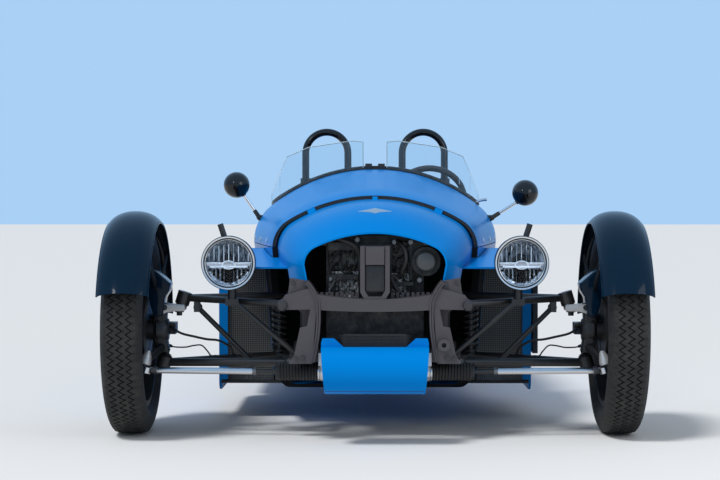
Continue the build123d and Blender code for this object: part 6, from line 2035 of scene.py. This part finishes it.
def addBackgroundMask(tree):
    # 1 for rays that meet the shown background: seen, mirrored or passed through glass
    path = tree.nodes.new("ShaderNodeLightPath")
    first = tree.nodes.new("ShaderNodeMath")
    first.operation = "MAXIMUM"
    second = tree.nodes.new("ShaderNodeMath")
    second.operation = "MAXIMUM"
    tree.links.new(path.outputs["Is Camera Ray"], first.inputs[0])
    tree.links.new(path.outputs["Is Glossy Ray"], first.inputs[1])
    tree.links.new(first.outputs[0], second.inputs[0])
    tree.links.new(path.outputs["Is Transmission Ray"], second.inputs[1])
    return second.outputs[0]


def makeWorld():
    world = bpy.data.worlds.new("studio")
    bpy.context.scene.world = world
    world.use_nodes = True
    tree = world.node_tree
    back = tree.nodes["Background"]
    back.inputs["Color"].default_value = backdrop["light"] + (1,)
    back.inputs["Strength"].default_value = backdrop["lightStrength"]
    shown = tree.nodes.new("ShaderNodeBackground")
    shown.inputs["Color"].default_value = backdrop["shown"] + (1,)
    shown.inputs["Strength"].default_value = 1.0
    mix = tree.nodes.new("ShaderNodeMixShader")
    tree.links.new(addBackgroundMask(tree), mix.inputs["Fac"])
    tree.links.new(back.outputs[0], mix.inputs[1])
    tree.links.new(shown.outputs[0], mix.inputs[2])
    tree.links.new(mix.outputs[0], tree.nodes["World Output"].inputs["Surface"])


lamps = {
    "key": {
        "kind": "SUN", "place": (-2.6, -3.4, 6.2), "aim": (0, -0.6, 0.4), "spread": 14.0, "power": 2.1,
        "mirrored": False,
    },
    "glint": {
        "kind": "AREA", "place": (-3.0, -5.4, 3.6), "aim": (0, -0.4, 0.6), "spread": 0.7, "power": 22.0,
        "mirrored": True,
    },
    "fill": {
        "kind": "AREA", "place": (4.2, -4.6, 2.4), "aim": (0, -0.6, 0.5), "spread": 2.6, "power": 45.0,
        "mirrored": True,
    },
}


def makeLamps():
    for name, lamp in lamps.items():
        light = bpy.data.lights.new(name, lamp["kind"])
        if lamp["kind"] == "SUN":
            light.angle = math.radians(lamp["spread"])
        else:
            light.size = lamp["spread"]
        light.energy = lamp["power"]
        holder = bpy.data.objects.new(name, light)
        bpy.context.scene.collection.objects.link(holder)
        holder.location = lamp["place"]
        holder.visible_glossy = lamp["mirrored"]
        aim = Vector(lamp["aim"]) - Vector(lamp["place"])
        holder.rotation_euler = aim.to_track_quat("-Z", "Y").to_euler()


viewpoint = {
    "distance": 6.3, "height": 0.80, "focal": 90.6, "centreColumn": 375, "eyeLevelRow": 203,
    "width": 720, "rows": 480,
}


def makeCamera():
    # The car's centre line and the eye level fall on a column and a row of the photograph
    sensor = 36.0
    camera = bpy.data.cameras.new("camera")
    camera.lens = viewpoint["focal"]
    camera.sensor_width = sensor
    holder = bpy.data.objects.new("camera", camera)
    bpy.context.scene.collection.objects.link(holder)
    pixels = viewpoint["focal"] / sensor * viewpoint["width"]
    yaw = math.atan((viewpoint["centreColumn"] - viewpoint["width"] / 2) / pixels)
    pitch = math.atan((viewpoint["rows"] / 2 - viewpoint["eyeLevelRow"]) / pixels)
    holder.location = (0, axleOffset - viewpoint["distance"], viewpoint["height"])
    holder.rotation_euler = (math.pi / 2 - pitch, 0, yaw)
    bpy.context.scene.camera = holder


makeFloor()
makeWorld()
makeLamps()
makeCamera()
bpy.context.scene.view_settings.view_transform = "Standard"
print("stage ready")
